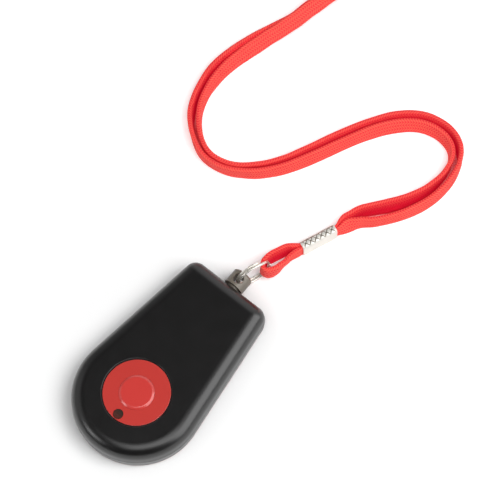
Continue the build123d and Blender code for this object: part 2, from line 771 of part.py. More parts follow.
coil_wire = coil_path.wires()[0]
with BuildPart() as strap_coil:
    with BuildSketch(section_plane((outer_entry.X, outer_entry.Y - coil_lead), (0, 1))):
        Polygon(*strap_section(), align=None)
    sweep(path=coil_wire)
finish(strap_coil, "strap_coil")

# Band that holds the put-away turn together
tie_line = (-sin(radians(tie_angle)), cos(radians(tie_angle)))
tie_inner = inner_radii_in_turn[2] - strap_thickness / 2 - tie_gap
tie_outer = outer_radii_in_turn[0] + strap_thickness / 2 + tie_gap
tie_middle = first_centre + Vector((tie_inner + tie_outer) / 2, 0).rotate(Axis.Z, tie_angle)
tie_plane = Plane(origin=(tie_middle.X, tie_middle.Y, strap_middle_height),
                  x_dir=(tie_line[1], -tie_line[0], 0), z_dir=(*tie_line, 0))
with BuildPart() as coil_tie:
    with BuildSketch(tie_plane):
        RectangleRounded(tie_outer - tie_inner + 2 * tie_thickness, 2 * strap_middle_height, tie_corner)
        RectangleRounded(tie_outer - tie_inner, 2 * strap_middle_height - 2 * tie_thickness,
                         tie_corner - tie_thickness, mode=Mode.SUBTRACT)
    extrude(amount=tie_width / 2, both=True)
finish(coil_tie, "coil_tie")


def least_gap(path, reach):
    """Smallest gap between parts of a path further apart along it than the reach."""
    count = 400
    points = [path.position_at(step / count) for step in range(count + 1)]
    step_length = path.length / count
    skip = int(reach / step_length)
    return min((points[i] - points[j]).length
               for i in range(count) for j in range(i + skip, count + 1)) - strap_thickness


section_area = Face(Wire.make_polygon([Vector(*corner) for corner in strap_section()])).area
for name, piece, path in (("outer", outer_strand, outer_path), ("inner", inner_strand, inner_path),
                          ("coil", strap_coil, coil_wire)):
    print(name, "length", round(path.length, 1), "volume over section times length",
          round(piece.part.volume / (section_area * path.length), 4))
print("outer strand radii", [round(radius, 1) for radius in outer_radii])
print("inner strand radii", [round(radius, 1) for radius in inner_radii])
print("least gap in the coil", round(least_gap(coil_wire, 12.0), 2))
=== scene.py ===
"""A pendant alarm button on a doubled flat braided neck strap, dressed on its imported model.

Lengths are in metres, in the part's own frame: +Y along the case to its swivel eye, +Z out of
the button.
"""

import json
import logging
import math
from bisect import bisect_left
from dataclasses import dataclass, field
from enum import Enum
from typing import Callable, Iterator, Sequence, Union

import bmesh
import bpy
from mathutils import Quaternion, Vector
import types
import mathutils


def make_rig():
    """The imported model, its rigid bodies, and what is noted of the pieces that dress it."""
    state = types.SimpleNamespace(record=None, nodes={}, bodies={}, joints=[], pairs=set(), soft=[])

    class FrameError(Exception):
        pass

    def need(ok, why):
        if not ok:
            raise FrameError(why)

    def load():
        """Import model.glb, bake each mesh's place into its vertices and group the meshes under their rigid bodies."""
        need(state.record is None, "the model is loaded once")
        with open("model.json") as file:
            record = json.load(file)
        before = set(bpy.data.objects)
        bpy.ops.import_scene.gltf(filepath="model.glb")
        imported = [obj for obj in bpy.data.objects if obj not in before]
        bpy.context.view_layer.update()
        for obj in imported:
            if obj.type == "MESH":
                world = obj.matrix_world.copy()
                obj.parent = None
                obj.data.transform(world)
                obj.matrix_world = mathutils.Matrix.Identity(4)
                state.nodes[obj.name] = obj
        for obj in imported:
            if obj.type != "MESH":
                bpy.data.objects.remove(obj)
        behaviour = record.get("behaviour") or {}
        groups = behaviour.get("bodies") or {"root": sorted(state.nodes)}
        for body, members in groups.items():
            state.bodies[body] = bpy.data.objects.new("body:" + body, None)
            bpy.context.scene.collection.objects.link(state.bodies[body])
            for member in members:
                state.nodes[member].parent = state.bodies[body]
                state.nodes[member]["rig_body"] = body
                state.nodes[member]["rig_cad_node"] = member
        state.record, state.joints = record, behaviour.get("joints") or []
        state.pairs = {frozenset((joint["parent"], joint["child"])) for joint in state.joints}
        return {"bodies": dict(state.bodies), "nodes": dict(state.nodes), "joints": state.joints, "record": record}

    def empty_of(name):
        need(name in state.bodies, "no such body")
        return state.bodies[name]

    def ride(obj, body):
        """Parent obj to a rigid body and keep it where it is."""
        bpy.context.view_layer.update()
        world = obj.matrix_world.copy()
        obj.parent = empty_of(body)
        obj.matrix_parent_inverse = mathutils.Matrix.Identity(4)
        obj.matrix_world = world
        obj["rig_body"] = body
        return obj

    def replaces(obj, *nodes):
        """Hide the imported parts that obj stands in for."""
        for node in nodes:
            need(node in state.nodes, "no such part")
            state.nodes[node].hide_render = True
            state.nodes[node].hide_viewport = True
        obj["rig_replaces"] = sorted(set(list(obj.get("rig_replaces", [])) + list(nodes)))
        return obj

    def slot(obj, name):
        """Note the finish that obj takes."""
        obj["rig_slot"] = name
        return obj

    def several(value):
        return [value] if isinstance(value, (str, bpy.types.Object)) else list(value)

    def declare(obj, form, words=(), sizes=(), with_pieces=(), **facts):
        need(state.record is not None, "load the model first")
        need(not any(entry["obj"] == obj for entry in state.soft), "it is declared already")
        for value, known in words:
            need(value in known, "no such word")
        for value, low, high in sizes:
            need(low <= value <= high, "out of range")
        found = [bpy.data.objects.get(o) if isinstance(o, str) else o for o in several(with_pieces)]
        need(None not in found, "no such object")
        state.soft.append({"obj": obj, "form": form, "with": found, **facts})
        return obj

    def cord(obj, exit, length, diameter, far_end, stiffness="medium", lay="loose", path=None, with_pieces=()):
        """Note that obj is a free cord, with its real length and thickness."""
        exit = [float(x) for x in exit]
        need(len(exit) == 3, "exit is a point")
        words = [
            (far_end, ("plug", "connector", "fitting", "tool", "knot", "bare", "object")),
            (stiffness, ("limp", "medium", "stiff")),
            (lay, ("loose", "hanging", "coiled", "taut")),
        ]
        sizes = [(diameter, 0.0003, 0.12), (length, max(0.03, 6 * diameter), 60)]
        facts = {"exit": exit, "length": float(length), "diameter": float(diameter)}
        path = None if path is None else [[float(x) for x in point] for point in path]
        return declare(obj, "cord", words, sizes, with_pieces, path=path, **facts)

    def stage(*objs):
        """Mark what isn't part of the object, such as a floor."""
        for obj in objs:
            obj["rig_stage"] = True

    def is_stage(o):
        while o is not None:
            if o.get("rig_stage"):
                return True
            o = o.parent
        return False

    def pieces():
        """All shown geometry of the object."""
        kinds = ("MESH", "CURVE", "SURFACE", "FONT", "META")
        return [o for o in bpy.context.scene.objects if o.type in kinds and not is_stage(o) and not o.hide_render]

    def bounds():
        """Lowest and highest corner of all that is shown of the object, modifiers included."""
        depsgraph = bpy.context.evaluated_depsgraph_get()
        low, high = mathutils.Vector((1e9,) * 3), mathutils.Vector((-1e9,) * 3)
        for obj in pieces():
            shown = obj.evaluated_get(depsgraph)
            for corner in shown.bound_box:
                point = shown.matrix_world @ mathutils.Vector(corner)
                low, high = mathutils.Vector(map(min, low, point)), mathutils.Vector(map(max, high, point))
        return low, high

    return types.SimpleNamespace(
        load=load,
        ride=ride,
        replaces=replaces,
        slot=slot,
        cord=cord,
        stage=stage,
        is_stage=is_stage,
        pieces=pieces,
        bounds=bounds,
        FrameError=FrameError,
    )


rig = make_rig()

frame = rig.load()
cad_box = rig.bounds()

MM = 0.001
SIZE_FILE = "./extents.json"
BRAID_MAP = "braid"
PRESSED = "pressed"
log = logging.getLogger("pendant")

Triple = tuple[float, float, float]
Colour = Triple
Rows = tuple[Triple, ...]
Pairs = tuple[tuple[float, float], ...]
Operand = Union["Value", float]
UP = Vector((0.0, 0.0, 1.0))
WHITE: Colour = (1.0, 1.0, 1.0)


class Body(Enum):
    """The moving bodies that new pieces ride on."""

    LANYARD = "lanyard"
    RING = "ring"


class Slot(Enum):
    """The record's finishes that new pieces take."""

    BRAID = "red_braid"
    NICKEL = "nickel"
    CRIMP = "nickel_crimp"
    TIE = "tie_band"


class Side(Enum):
    """Which way a strand of the strap lies from the middle of the pair, seen from the crimp."""

    LEFT = -1
    RIGHT = 1


class Role(Enum):
    """What a lamp does: light everything, light surfaces only, or be seen only in reflections."""

    BOTH = (True, True)
    LEVEL = (True, False)
    SHINE = (False, True)


# Shader sheets


class Value:
    """A shader socket that takes part in sums written as Python expressions."""

    def __init__(self, sheet: "NodeSheet", socket: bpy.types.NodeSocket) -> None:
        """Keeps the socket and the sheet that it is on."""
        self.sheet = sheet
        self.socket = socket

    def math(self, operation: str, *others: Operand) -> "Value":
        """Adds one Math node.

        Args:
            operation: the node's operation.
            others: the second and third inputs.

        Returns:
            The node's result.
        """
        inputs = dict(enumerate((self, *others)))
        return self.sheet.add("ShaderNodeMath", {"operation": operation}, inputs)

    def __add__(self, other: Operand) -> "Value":
        """Sum."""
        return self.math("ADD", other)

    __radd__ = __add__

    def __sub__(self, other: Operand) -> "Value":
        """Difference."""
        return self.math("SUBTRACT", other)

    def __rsub__(self, other: float) -> "Value":
        """Difference from a number, as in 1 - mask."""
        return (self * -1.0).math("ADD", other)

    def __mul__(self, other: Operand) -> "Value":
        """Product."""
        return self.math("MULTIPLY", other)

    __rmul__ = __mul__

    def __truediv__(self, other: Operand) -> "Value":
        """Quotient."""
        return self.math("DIVIDE", other)

    def ridge(self) -> "Value":
        """A smooth wave from 0 to 1 and back, once for each whole number."""
        return (self * math.tau).math("COSINE") * 0.5 + 0.5

    def zigzag(self, reach: float) -> "Value":
        """A value that climbs to the reach and comes back."""
        return self.math("PINGPONG", reach)

    def clamped(self) -> "Value":
        """The value held between 0 and 1."""
        return self.sheet.add("ShaderNodeClamp", inputs={"Value": self})

    def rising(self, start: float, width: float) -> "Value":
        """A mask that is 0 up to the start and 1 from a width past it."""
        return ((self - start) / width).clamped()

    def twin(self, output: str) -> "Value":
        """Another output of the same node."""
        return Value(self.sheet, self.socket.node.outputs[output])


class NodeSheet:
    """A node tree, which gets its nodes from one method."""

    def __init__(self, tree: bpy.types.NodeTree) -> None:
        """Keeps the tree."""
        self.tree = tree

    def add(self, kind: str, settings: dict | None = None, inputs: dict | None = None,
            output: int | str = 0) -> Value:
        """Adds a node, sets it, and fills its sockets.

        Args:
            kind: the node's type.
            settings: its settings.
            inputs: numbers, colours or values for its sockets, by name or place.
            output: the socket that is handed back.

        Returns:
            The node's output.
        """
        node = self.tree.nodes.new(kind)
        for setting, value in (settings or {}).items():
            setattr(node, setting, value)
        self.fill(node, inputs or {})
        return Value(self, node.outputs[output])

    def fill(self, node: bpy.types.Node, inputs: dict) -> None:
        """Links values to a node's sockets, or sets the sockets.

        Args:
            node: the node.
            inputs: what its sockets get, by name or place.
        """
        for name, value in inputs.items():
            socket = node.inputs[name]
            if isinstance(value, Value):
                self.tree.links.new(value.socket, socket)
            elif socket.type == "RGBA":
                socket.default_value = (*value, 1.0)
            else:
                socket.default_value = value


class ShaderSheet(NodeSheet):
    """One material's nodes, with its principled shader."""

    def __init__(self, name: str) -> None:
        """Starts a material with an empty node tree.

        Args:
            name: the material's name.
        """
        self.material = bpy.data.materials.new(name)
        self.material.use_nodes = True
        super().__init__(self.material.node_tree)
        self.tree.nodes.clear()
        self.surface = self.tree.nodes.new("ShaderNodeBsdfPrincipled")
        output = self.tree.nodes.new("ShaderNodeOutputMaterial")
        self.tree.links.new(self.surface.outputs["BSDF"], output.inputs["Surface"])

    def places(self) -> Value:
        """Places on the piece, in metres."""
        return self.add("ShaderNodeTexCoord", output="Object")

    def noise(self, size: float, detail: float = 2.0, roughness: float = 0.5) -> Value:
        """Cloudy noise from about 0.3 to 0.7.

        Args:
            size: the size of one cloud, in metres.
            detail: how many finer layers it has.
            roughness: how strong those are.

        Returns:
            The noise.
        """
        return self.add("ShaderNodeTexNoise", inputs={
            "Vector": self.places(), "Scale": 1.0 / size, "Detail": detail,
            "Roughness": roughness})

    def blend(self, share: Value, low: object, high: object) -> Value:
        """A colour between two others."""
        return self.add("ShaderNodeMix", {"data_type": "RGBA"}, {0: share, 6: low, 7: high}, 2)

    def bump(self, height: Value, depth: float, below: Value | None = None) -> Value:
        """A bumped normal.

        Args:
            height: the height, from 0 to 1.
            depth: how deep that is, in metres.
            below: a bump that this one lies on.

        Returns:
            The normal.
        """
        inputs: dict = {"Height": height, "Distance": depth, "Strength": 1.0}
        if below is not None:
            inputs["Normal"] = below
        return self.add("ShaderNodeBump", inputs=inputs)

    def set(self, **sockets: object) -> None:
        """Fills the shader's own sockets, named with _ for a space."""
        self.fill(self.surface, {name.replace("_", " "): value for name, value in sockets.items()})


# Finishes


def tinted(colour: Colour, share: float) -> Colour:
    """A colour made darker or lighter."""
    return tuple(min(channel * share, 1.0) for channel in colour)


@dataclass(frozen=True)
class Finish:
    """A finish, which knows its name and how to fill a shader."""

    name: str

    def material(self) -> bpy.types.Material:
        """Makes the finish.

        Returns:
            The material.
        """
        sheet = ShaderSheet(self.name)
        self.fill(sheet)
        return sheet.material

    def fill(self, sheet: ShaderSheet) -> None:
        """Fills the shader, in each finish's own way.

        Args:
            sheet: the material's nodes.
        """
        raise NotImplementedError


@dataclass(frozen=True)
class Moulding(Finish):
    """Moulded plastic with a fine spark-eroded grain."""

    colour: Colour
    roughness: float = 0.45
    specular: float = 0.4
    grain: float = 0.00022
    grain_depth: float = 0.000012
    cloud: float = 0.006
    tint_change: float = 0.12

    def fill(self, sheet: ShaderSheet) -> None:
        """Clouds of tint under a grain that breaks up the gloss.

        Args:
            sheet: the material\'s nodes.
        """
        clouds = sheet.noise(self.cloud, 3.0)
        grain = sheet.noise(self.grain, 2.0, 0.6)
        sheet.set(Base_Color=sheet.blend(clouds, tinted(self.colour, 1.0 - self.tint_change),
                                         tinted(self.colour, 1.0 + self.tint_change)),
                  Roughness=self.roughness - 0.05 + clouds * 0.06 + grain * 0.05,
                  Specular_IOR_Level=self.specular,
                  Normal=sheet.bump(grain, self.grain_depth))


@dataclass(frozen=True)
class Plating(Finish):
    """Plated or bare metal with fine drawing marks and small scuffs."""

    colour: Colour
    roughness: float = 0.16
    scuff: float = 0.0008
    scuff_depth: float = 0.000006
    haze: float = 0.0035
    wear: float = 0.86
    metallic: float = 1.0
    # Painted shade in the pressed crosses, darker the deeper they are.
    pressed_shade: Colour = (0.11, 0.078, 0.036)
    pressed_shade_full_at: float = 1 / 3

    def fill(self, sheet: ShaderSheet) -> None:
        """Hazy plating, with painted shade where the metal is pressed in.

        Args:
            sheet: the material\'s nodes.
        """
        haze = sheet.noise(self.haze, 3.0)
        scuffs = sheet.noise(self.scuff, 4.0, 0.65)
        pressed = sheet.add("ShaderNodeAttribute", {"attribute_name": PRESSED}, output="Fac")
        plated = sheet.blend(haze, tinted(self.colour, self.wear), self.colour)
        # Painted shade where the metal is pressed in.
        pressed_shading = (pressed / self.pressed_shade_full_at).clamped()
        sheet.set(Base_Color=sheet.blend(pressed_shading, plated, self.pressed_shade), Metallic=self.metallic,
                  Roughness=self.roughness - 0.05 + haze * 0.1 + scuffs * 0.06,
                  Normal=sheet.bump(scuffs, self.scuff_depth))


@dataclass(frozen=True)
class BraidFinish(Finish):
    """Flat braided yarn: slanted stitches in columns that lean to and fro, as a herringbone.

    Its sizes along and round the strap are in millimetres, as the braid map is.
    """

    name: str = "red braid"
    # Painted light and shade: the stitch pattern is the yarn's own, but its tops are painted lit and its valleys
    # painted in shade, as lit and shaded copies of the red.
    lit_crest: Colour = (0.99, 0.165, 0.098)
    shaded_valley: Colour = (0.76, 0.006, 0.032)
    shaded: Colour = (0.62, 0.001, 0.022)
    # Painted light: a red glow with no lamp, which lifts the braid's shaded parts.
    painted_glow_colour: Colour = (1.0, 0.0, 0.06)
    painted_glow: float = 0.13
    sheen_tint: Colour = (1.0, 0.45, 0.35)
    stitch: float = 0.9
    column: float = 1.343
    column_depth: float = 0.35
    slant: float = 1.1
    yarn: float = 0.3
    yarn_slant: float = 2.4
    wander: float = 0.25
    fluff: float = 0.00035
    inner_face: tuple[float, float] = (0.4, 3.2)
    face_rise: float = 0.9
    face_fall: float = 4.0
    relief: float = 0.0001
    yarn_relief: float = 0.00003
    roughness: float = 0.62
    specular: float = 0.14

    def fill(self, sheet: ShaderSheet) -> None:
        """Stitches painted lit over valleys painted in shade, painted shade on the face between the strands, and a
        painted red glow.

        Args:
            sheet: the material\'s nodes.
        """
        along = sheet.add("ShaderNodeSeparateXYZ", inputs={
            0: sheet.add("ShaderNodeUVMap", {"uv_map": BRAID_MAP})})
        across = along.twin("Y")
        lean = across.zigzag(self.column) * (self.slant / self.column)
        wander = sheet.noise(0.004) * self.wander
        stitches = (along / self.stitch + lean + wander).ridge()
        columns = (across / self.column).ridge() * self.column_depth
        body = (stitches * 0.8 + 0.35 - columns).clamped()
        yarns = ((along / self.stitch + lean * self.yarn_slant) * (self.stitch / self.yarn)).ridge()
        fluff = sheet.noise(self.fluff, 3.0, 0.7)
        # Painted light and shade: tone picks the painted-lit stitch tops over the painted-shade valleys, with fluff
        # adding random tone.
        tone = (body * 0.85 + fluff * 0.35 - 0.12).clamped()
        # Painted shade: the face between the strands is blended towards the shaded colour.
        start, end = self.inner_face
        inward = across.rising(start, self.face_rise) * (1.0 - across.rising(end, self.face_fall))
        stitches_lit_and_shaded = sheet.blend(tone, self.shaded_valley, self.lit_crest)
        sheet.set(Base_Color=sheet.blend(inward * 0.9, stitches_lit_and_shaded, self.shaded),
                  Roughness=self.roughness + fluff * 0.2, Specular_IOR_Level=self.specular,
                  Emission_Color=self.painted_glow_colour, Emission_Strength=self.painted_glow,
                  Sheen_Weight=0.05, Sheen_Roughness=0.4, Sheen_Tint=self.sheen_tint,
                  Normal=sheet.bump(yarns * 0.6 + fluff * 0.4, self.yarn_relief,
                                    sheet.bump(body, self.relief)))


@dataclass(frozen=True)
class Overlay(Finish):
    """Satin printed film over a moulded button."""

    colour: Colour
    deep: Colour
    roughness: float = 0.19
    specular: float = 0.95
    grain: float = 0.00016
    grain_depth: float = 0.000005

    def fill(self, sheet: ShaderSheet) -> None:
        """Faint clouds in the print under a satin grain.

        Args:
            sheet: the material\'s nodes.
        """
        clouds = sheet.noise(0.005)
        grain = sheet.noise(self.grain, 2.0, 0.6)
        print_share = (clouds * 0.8 + grain * 0.3).clamped()
        sheet.set(Base_Color=sheet.blend(print_share, self.deep, self.colour),
                  Roughness=self.roughness + grain * 0.08,
                  Specular_IOR_Level=self.specular,
                  Normal=sheet.bump(grain, self.grain_depth))


@dataclass(frozen=True)
class SmokedWindow(Finish):
    """Smoked acrylic over an unlit red indicator."""

    name: str = "smoked window"
    smoke: Colour = (0.034, 0.026, 0.020)
    glow: Colour = (0.085, 0.018, 0.012)
    centre: Triple = (0.0, -0.0089, 0.012)
    radius: float = 0.0016

    def fill(self, sheet: ShaderSheet) -> None:
        """Smoke that is redder towards the window's lower edge.

        Args:
            sheet: the material\'s nodes.
        """
        from_centre = sheet.add("ShaderNodeVectorMath", {"operation": "SUBTRACT"},
                                {0: sheet.places(), 1: self.centre})
        height = sheet.add("ShaderNodeSeparateXYZ", inputs={0: from_centre}, output="Y")
        warmth = (height / (-1.6 * self.radius) + 0.35 + sheet.noise(0.0006) * 0.3).clamped()
        sheet.set(Base_Color=sheet.blend(warmth, self.smoke, self.glow),
                  Roughness=0.22 + warmth * 0.1, Specular_IOR_Level=0.45)


@dataclass(frozen=True)
class BoardFinish(Finish):
    """Green solder mask over copper tracks."""

    name: str = "board laminate"
    mask: Colour = (0.018, 0.120, 0.050)
    track: Colour = (0.040, 0.220, 0.085)
    pitch: float = 0.0012
    track_height: float = 0.00002

    def fill(self, sheet: ShaderSheet) -> None:
        """Tracks that show through the mask, a little proud.

        Args:
            sheet: the material\'s nodes.
        """
        tracks = sheet.add("ShaderNodeTexBrick", {"offset": 0.35}, {
            "Vector": sheet.places(), "Color1": WHITE, "Color2": (0.7, 0.7, 0.7),
            "Mortar": (0.0, 0.0, 0.0), "Scale": 1.0, "Brick Width": 4 * self.pitch,
            "Row Height": self.pitch, "Mortar Size": self.pitch * 0.3})
        sheet.set(Base_Color=sheet.blend(tracks, self.mask, self.track),
                  Roughness=0.3 + sheet.noise(0.0005) * 0.1,
                  Normal=sheet.bump(tracks, self.track_height))


@dataclass(frozen=True)
class Paper(Finish):
    """The matt white sweep that the pendant lies on, and the same white wherever it is seen.

    Slits between strands get painted shade, tinted red as painted light bounced off the braid, and the side of the
    case away from the light gets painted shade.
    Each of those masks is read from how open the paper is, from its dark end over a rise.
    """

    name: str = "paper sweep"
    white: Colour = (0.98, 0.98, 0.98)
    # Painted shade in the slits between strands, tinted red as painted light bounced off the braid.
    slit_shade: Colour = (0.95, 0.06, 0.10)
    slit: float = 0.006
    slit_dark: float = 0.16
    slit_rise: float = 0.22
    shade: Colour = (0.70, 0.70, 0.70)
    shade_reach: float = 0.009
    shade_dark: float = 0.22
    shade_rise: float = 0.5
    lit_from: Triple = (0.75, 0.35, 0.55)
    case_middle: Triple = (0.0, 0.004, 0.0)
    case_reach: float = 0.046
    case_fade: float = 0.018
    far_start: float = 0.28
    lift: float = 0.3
    far_lift: float = 0.5
    base_lift: float = 0.03

    def _openness(self, sheet: ShaderSheet, reach: float, samples: int, **towards: Value) -> Value:
        """How open the paper is within a reach, from 0 to 1."""
        return sheet.add("ShaderNodeAmbientOcclusion", {"samples": samples},
                         {"Distance": reach, **towards}, "AO")

    def fill(self, sheet: ShaderSheet) -> None:
        """White paper with a little more white added only for the eye, as painted light: most away from the case,
        where it washes out the strap's shadows, and none in the slits.

        Args:
            sheet: the material\'s nodes.
        """
        seen = sheet.add("ShaderNodeLightPath", output="Is Camera Ray")
        # clear is low in the slits, where the paper gets painted shade and no added white.
        clear = self._openness(sheet, self.slit, 12).rising(self.slit_dark, self.slit_rise)
        towards = sheet.add("ShaderNodeCombineXYZ", inputs=dict(enumerate(self.lit_from)))
        lit = self._openness(sheet, self.shade_reach, 16, Normal=towards).rising(
            self.shade_dark, self.shade_rise)
        distance = sheet.add("ShaderNodeVectorMath", {"operation": "DISTANCE"},
                             {0: sheet.places(), 1: self.case_middle}, "Value")
        away = distance.rising(self.case_reach, self.case_fade)
        far = distance.rising(self.far_start, self.far_start)
        paper = sheet.blend(sheet.noise(0.0012), tinted(self.white, 0.99), self.white)
        shaded = sheet.blend((lit + away).clamped(), self.shade, paper)
        # Painted light: extra white for the eye, held low near the case so its shadow stays.
        lift = away * self.lift + far * self.far_lift + self.base_lift
        sheet.set(Base_Color=sheet.blend(clear, self.slit_shade, shaded), Roughness=0.9,
                  Specular_IOR_Level=0.1, Emission_Color=WHITE,
                  Emission_Strength=seen * clear * lift)


# Meshes


@dataclass
class Station:
    """One place along a swept piece.

    Args:
        centre: the middle of the section.
        across: unit vector along its thickness.
        tall: unit vector along its width.
        along: distance from the piece's start.
        thickness: its thickness, as a share of the section's.
        rib: how much of the relief shows here, from 0 to 1.
    """

    centre: Vector
    across: Vector
    tall: Vector
    along: float
    thickness: float = 1.0
    rib: float = 1.0


def rounded(reach: float, flat_x: float, flat_z: float, corner: float) -> tuple[float, ...]:
    """A point on the outline of a rounded oblong.

    Args:
        reach: distance along it, from the left end of its top side towards the right.
        flat_x: half of its straight top side.
        flat_z: half of its straight upright side.
        corner: radius of its corners.

    Returns:
        The point's place across and up, and the outward direction there.
    """
    quarter = math.pi * corner / 2
    outline = (((1, 1), (0, 1), flat_x), ((1, -1), (1, 0), flat_z),
               ((-1, -1), (0, -1), flat_x), ((-1, 1), (-1, 0), flat_z))
    reach %= 4 * (flat_x + flat_z + quarter)
    for (sign_x, sign_z), (out_x, out_z), half in outline:
        if reach <= 2 * half + quarter + 1e-12:
            break
        reach -= 2 * half + quarter
    back, turn = max(2 * half - reach, 0.0), max(reach - 2 * half, 0.0) / corner
    turned_x = out_x * math.cos(turn) + out_z * math.sin(turn)
    turned_z = out_z * math.cos(turn) - out_x * math.sin(turn)
    return (sign_x * flat_x - out_z * back + turned_x * corner,
            sign_z * flat_z + out_x * back + turned_z * corner, turned_x, turned_z)


@dataclass
class OvalSection:
    """A section with straight sides and round edges, or a plain circle where both sizes match."""

    width: float
    thickness: float
    segments: int
    waist: float = 0.0

    @property
    def perimeter(self) -> float:
        """Length round the section."""
        return 2 * (self.width - self.thickness) + math.pi * self.thickness

    def point(self, place: int) -> tuple[float, float, float, float]:
        """One corner of the section.

        Args:
            place: which corner, counted from the bottom edge.

        Returns:
            Its place across and up, and the outward direction there.
        """
        flat = self.width - self.thickness
        across, down, out_across, out_down = rounded(
            place % self.segments / self.segments * self.perimeter, 0.0, flat / 2,
            self.thickness / 2)
        if abs(down) < flat / 2:
            across -= out_across * self.waist * math.cos(math.pi * down / flat) ** 2
        return across, -down, out_across, -out_down


def swept(stations: Sequence[Station], section: OvalSection,
          relief: Callable[[Station, float], float] | None = None) -> bmesh.types.BMesh:
    """Rolls a grid into a tube along the stations, closes its seam and caps its ends.

    Args:
        stations: places along the piece.
        section: the outline that is carried along them.
        relief: how far a point stands proud, from its station and its distance round the section.

    Returns:
        The mesh, with a braid map in millimetres.
    """
    mesh = bmesh.new()
    rows, columns = len(stations) - 1, section.segments
    bmesh.ops.create_grid(mesh, x_segments=rows, y_segments=columns, size=1.0)
    grid = {vert: (round((vert.co.x + 1) / 2 * rows), round((vert.co.y + 1) / 2 * columns))
            for vert in mesh.verts}
    braid_map = mesh.loops.layers.uv.new(BRAID_MAP)
    for face in mesh.faces:
        face.smooth = True
        for loop in face.loops:
            row, column = grid[loop.vert]
            loop[braid_map].uv = (stations[row].along / MM,
                                  column / columns * section.perimeter / MM)
    corners = [section.point(column) for column in range(columns + 1)]
    for vert, (row, column) in grid.items():
        station = stations[row]
        across, tall, out_across, out_tall = corners[column]
        proud = relief(station, column / columns * section.perimeter) if relief else 0.0
        side = across * station.thickness + out_across * proud
        vert.co = station.centre + station.across * side + station.tall * (tall + out_tall * proud)
    seam = [vert for vert, (_, column) in grid.items() if column in (0, columns)]
    bmesh.ops.remove_doubles(mesh, verts=seam, dist=1e-7)
    bmesh.ops.holes_fill(mesh, edges=[edge for edge in mesh.edges if edge.is_boundary], sides=0)
    bmesh.ops.recalc_face_normals(mesh, faces=mesh.faces[:])
    return mesh


def settled(name: str, mesh: bmesh.types.BMesh) -> bpy.types.Mesh:
    """Turns a bmesh into a mesh.

    Args:
        name: the mesh's name.
        mesh: its shape. It is freed.

    Returns:
        The mesh.
    """
    data = bpy.data.meshes.new(name)
    mesh.to_mesh(data)
    mesh.free()
    return data


def placed(name: str, data: bpy.types.ID) -> bpy.types.Object:
    """Puts a mesh, a lamp or a camera in the scene.

    Args:
        name: the object's name.
        data: what it holds.

    Returns:
        The object.
    """
    made = bpy.data.objects.new(name, data)
    bpy.context.scene.collection.objects.link(made)
    return made


def piece(name: str, mesh: bmesh.types.BMesh, material: bpy.types.Material, body: Body,
          slot: Slot) -> bpy.types.Object:
    """Turns a bmesh into a finished piece that rides on a body.

    Args:
        name: the piece's name.
        mesh: its shape, in the part's frame. It is freed.
        material: its finish.
        body: the body that it moves with.
        slot: the record's finish that it stands for.

    Returns:
        The piece.
    """
    made = placed(name, settled(name, mesh))
    made.data.materials.append(material)
    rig.ride(made, body.value)
    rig.slot(made, slot.value)
    log.info("%s: %d faces on %s", name, len(made.data.polygons), body.value)
    return made


def eased(table: Sequence[tuple[float, float]], place: float) -> float:
    """Reads a table of (place, value) smoothly.

    Args:
        table: the stops, in order.
        place: where it is read.

    Returns:
        The value there, level before the first stop and after the last.
    """
    if place <= table[0][0]:
        return table[0][1]
    for (start, low), (end, high) in zip(table, table[1:]):
        if place <= end:
            share = (place - start) / (end - start)
            return low + (high - low) * (3 - 2 * share) * share ** 2
    return table[-1][1]


def level(degrees: float, radius: float = 1.0) -> Vector:
    """Level vector of a length, in degrees from +X towards +Y."""
    return Vector((math.cos(math.radians(degrees)), math.sin(math.radians(degrees)), 0.0)) * radius


def heading(degrees: float) -> Vector:
    """Level unit vector, in degrees from +Y towards +X."""
    return level(90.0 - degrees)


def right_of(line: Vector) -> Vector:
    """Level unit vector to the right of a level heading."""
    return Vector((line.y, -line.x, 0.0)).normalized()


# The neck strap's route


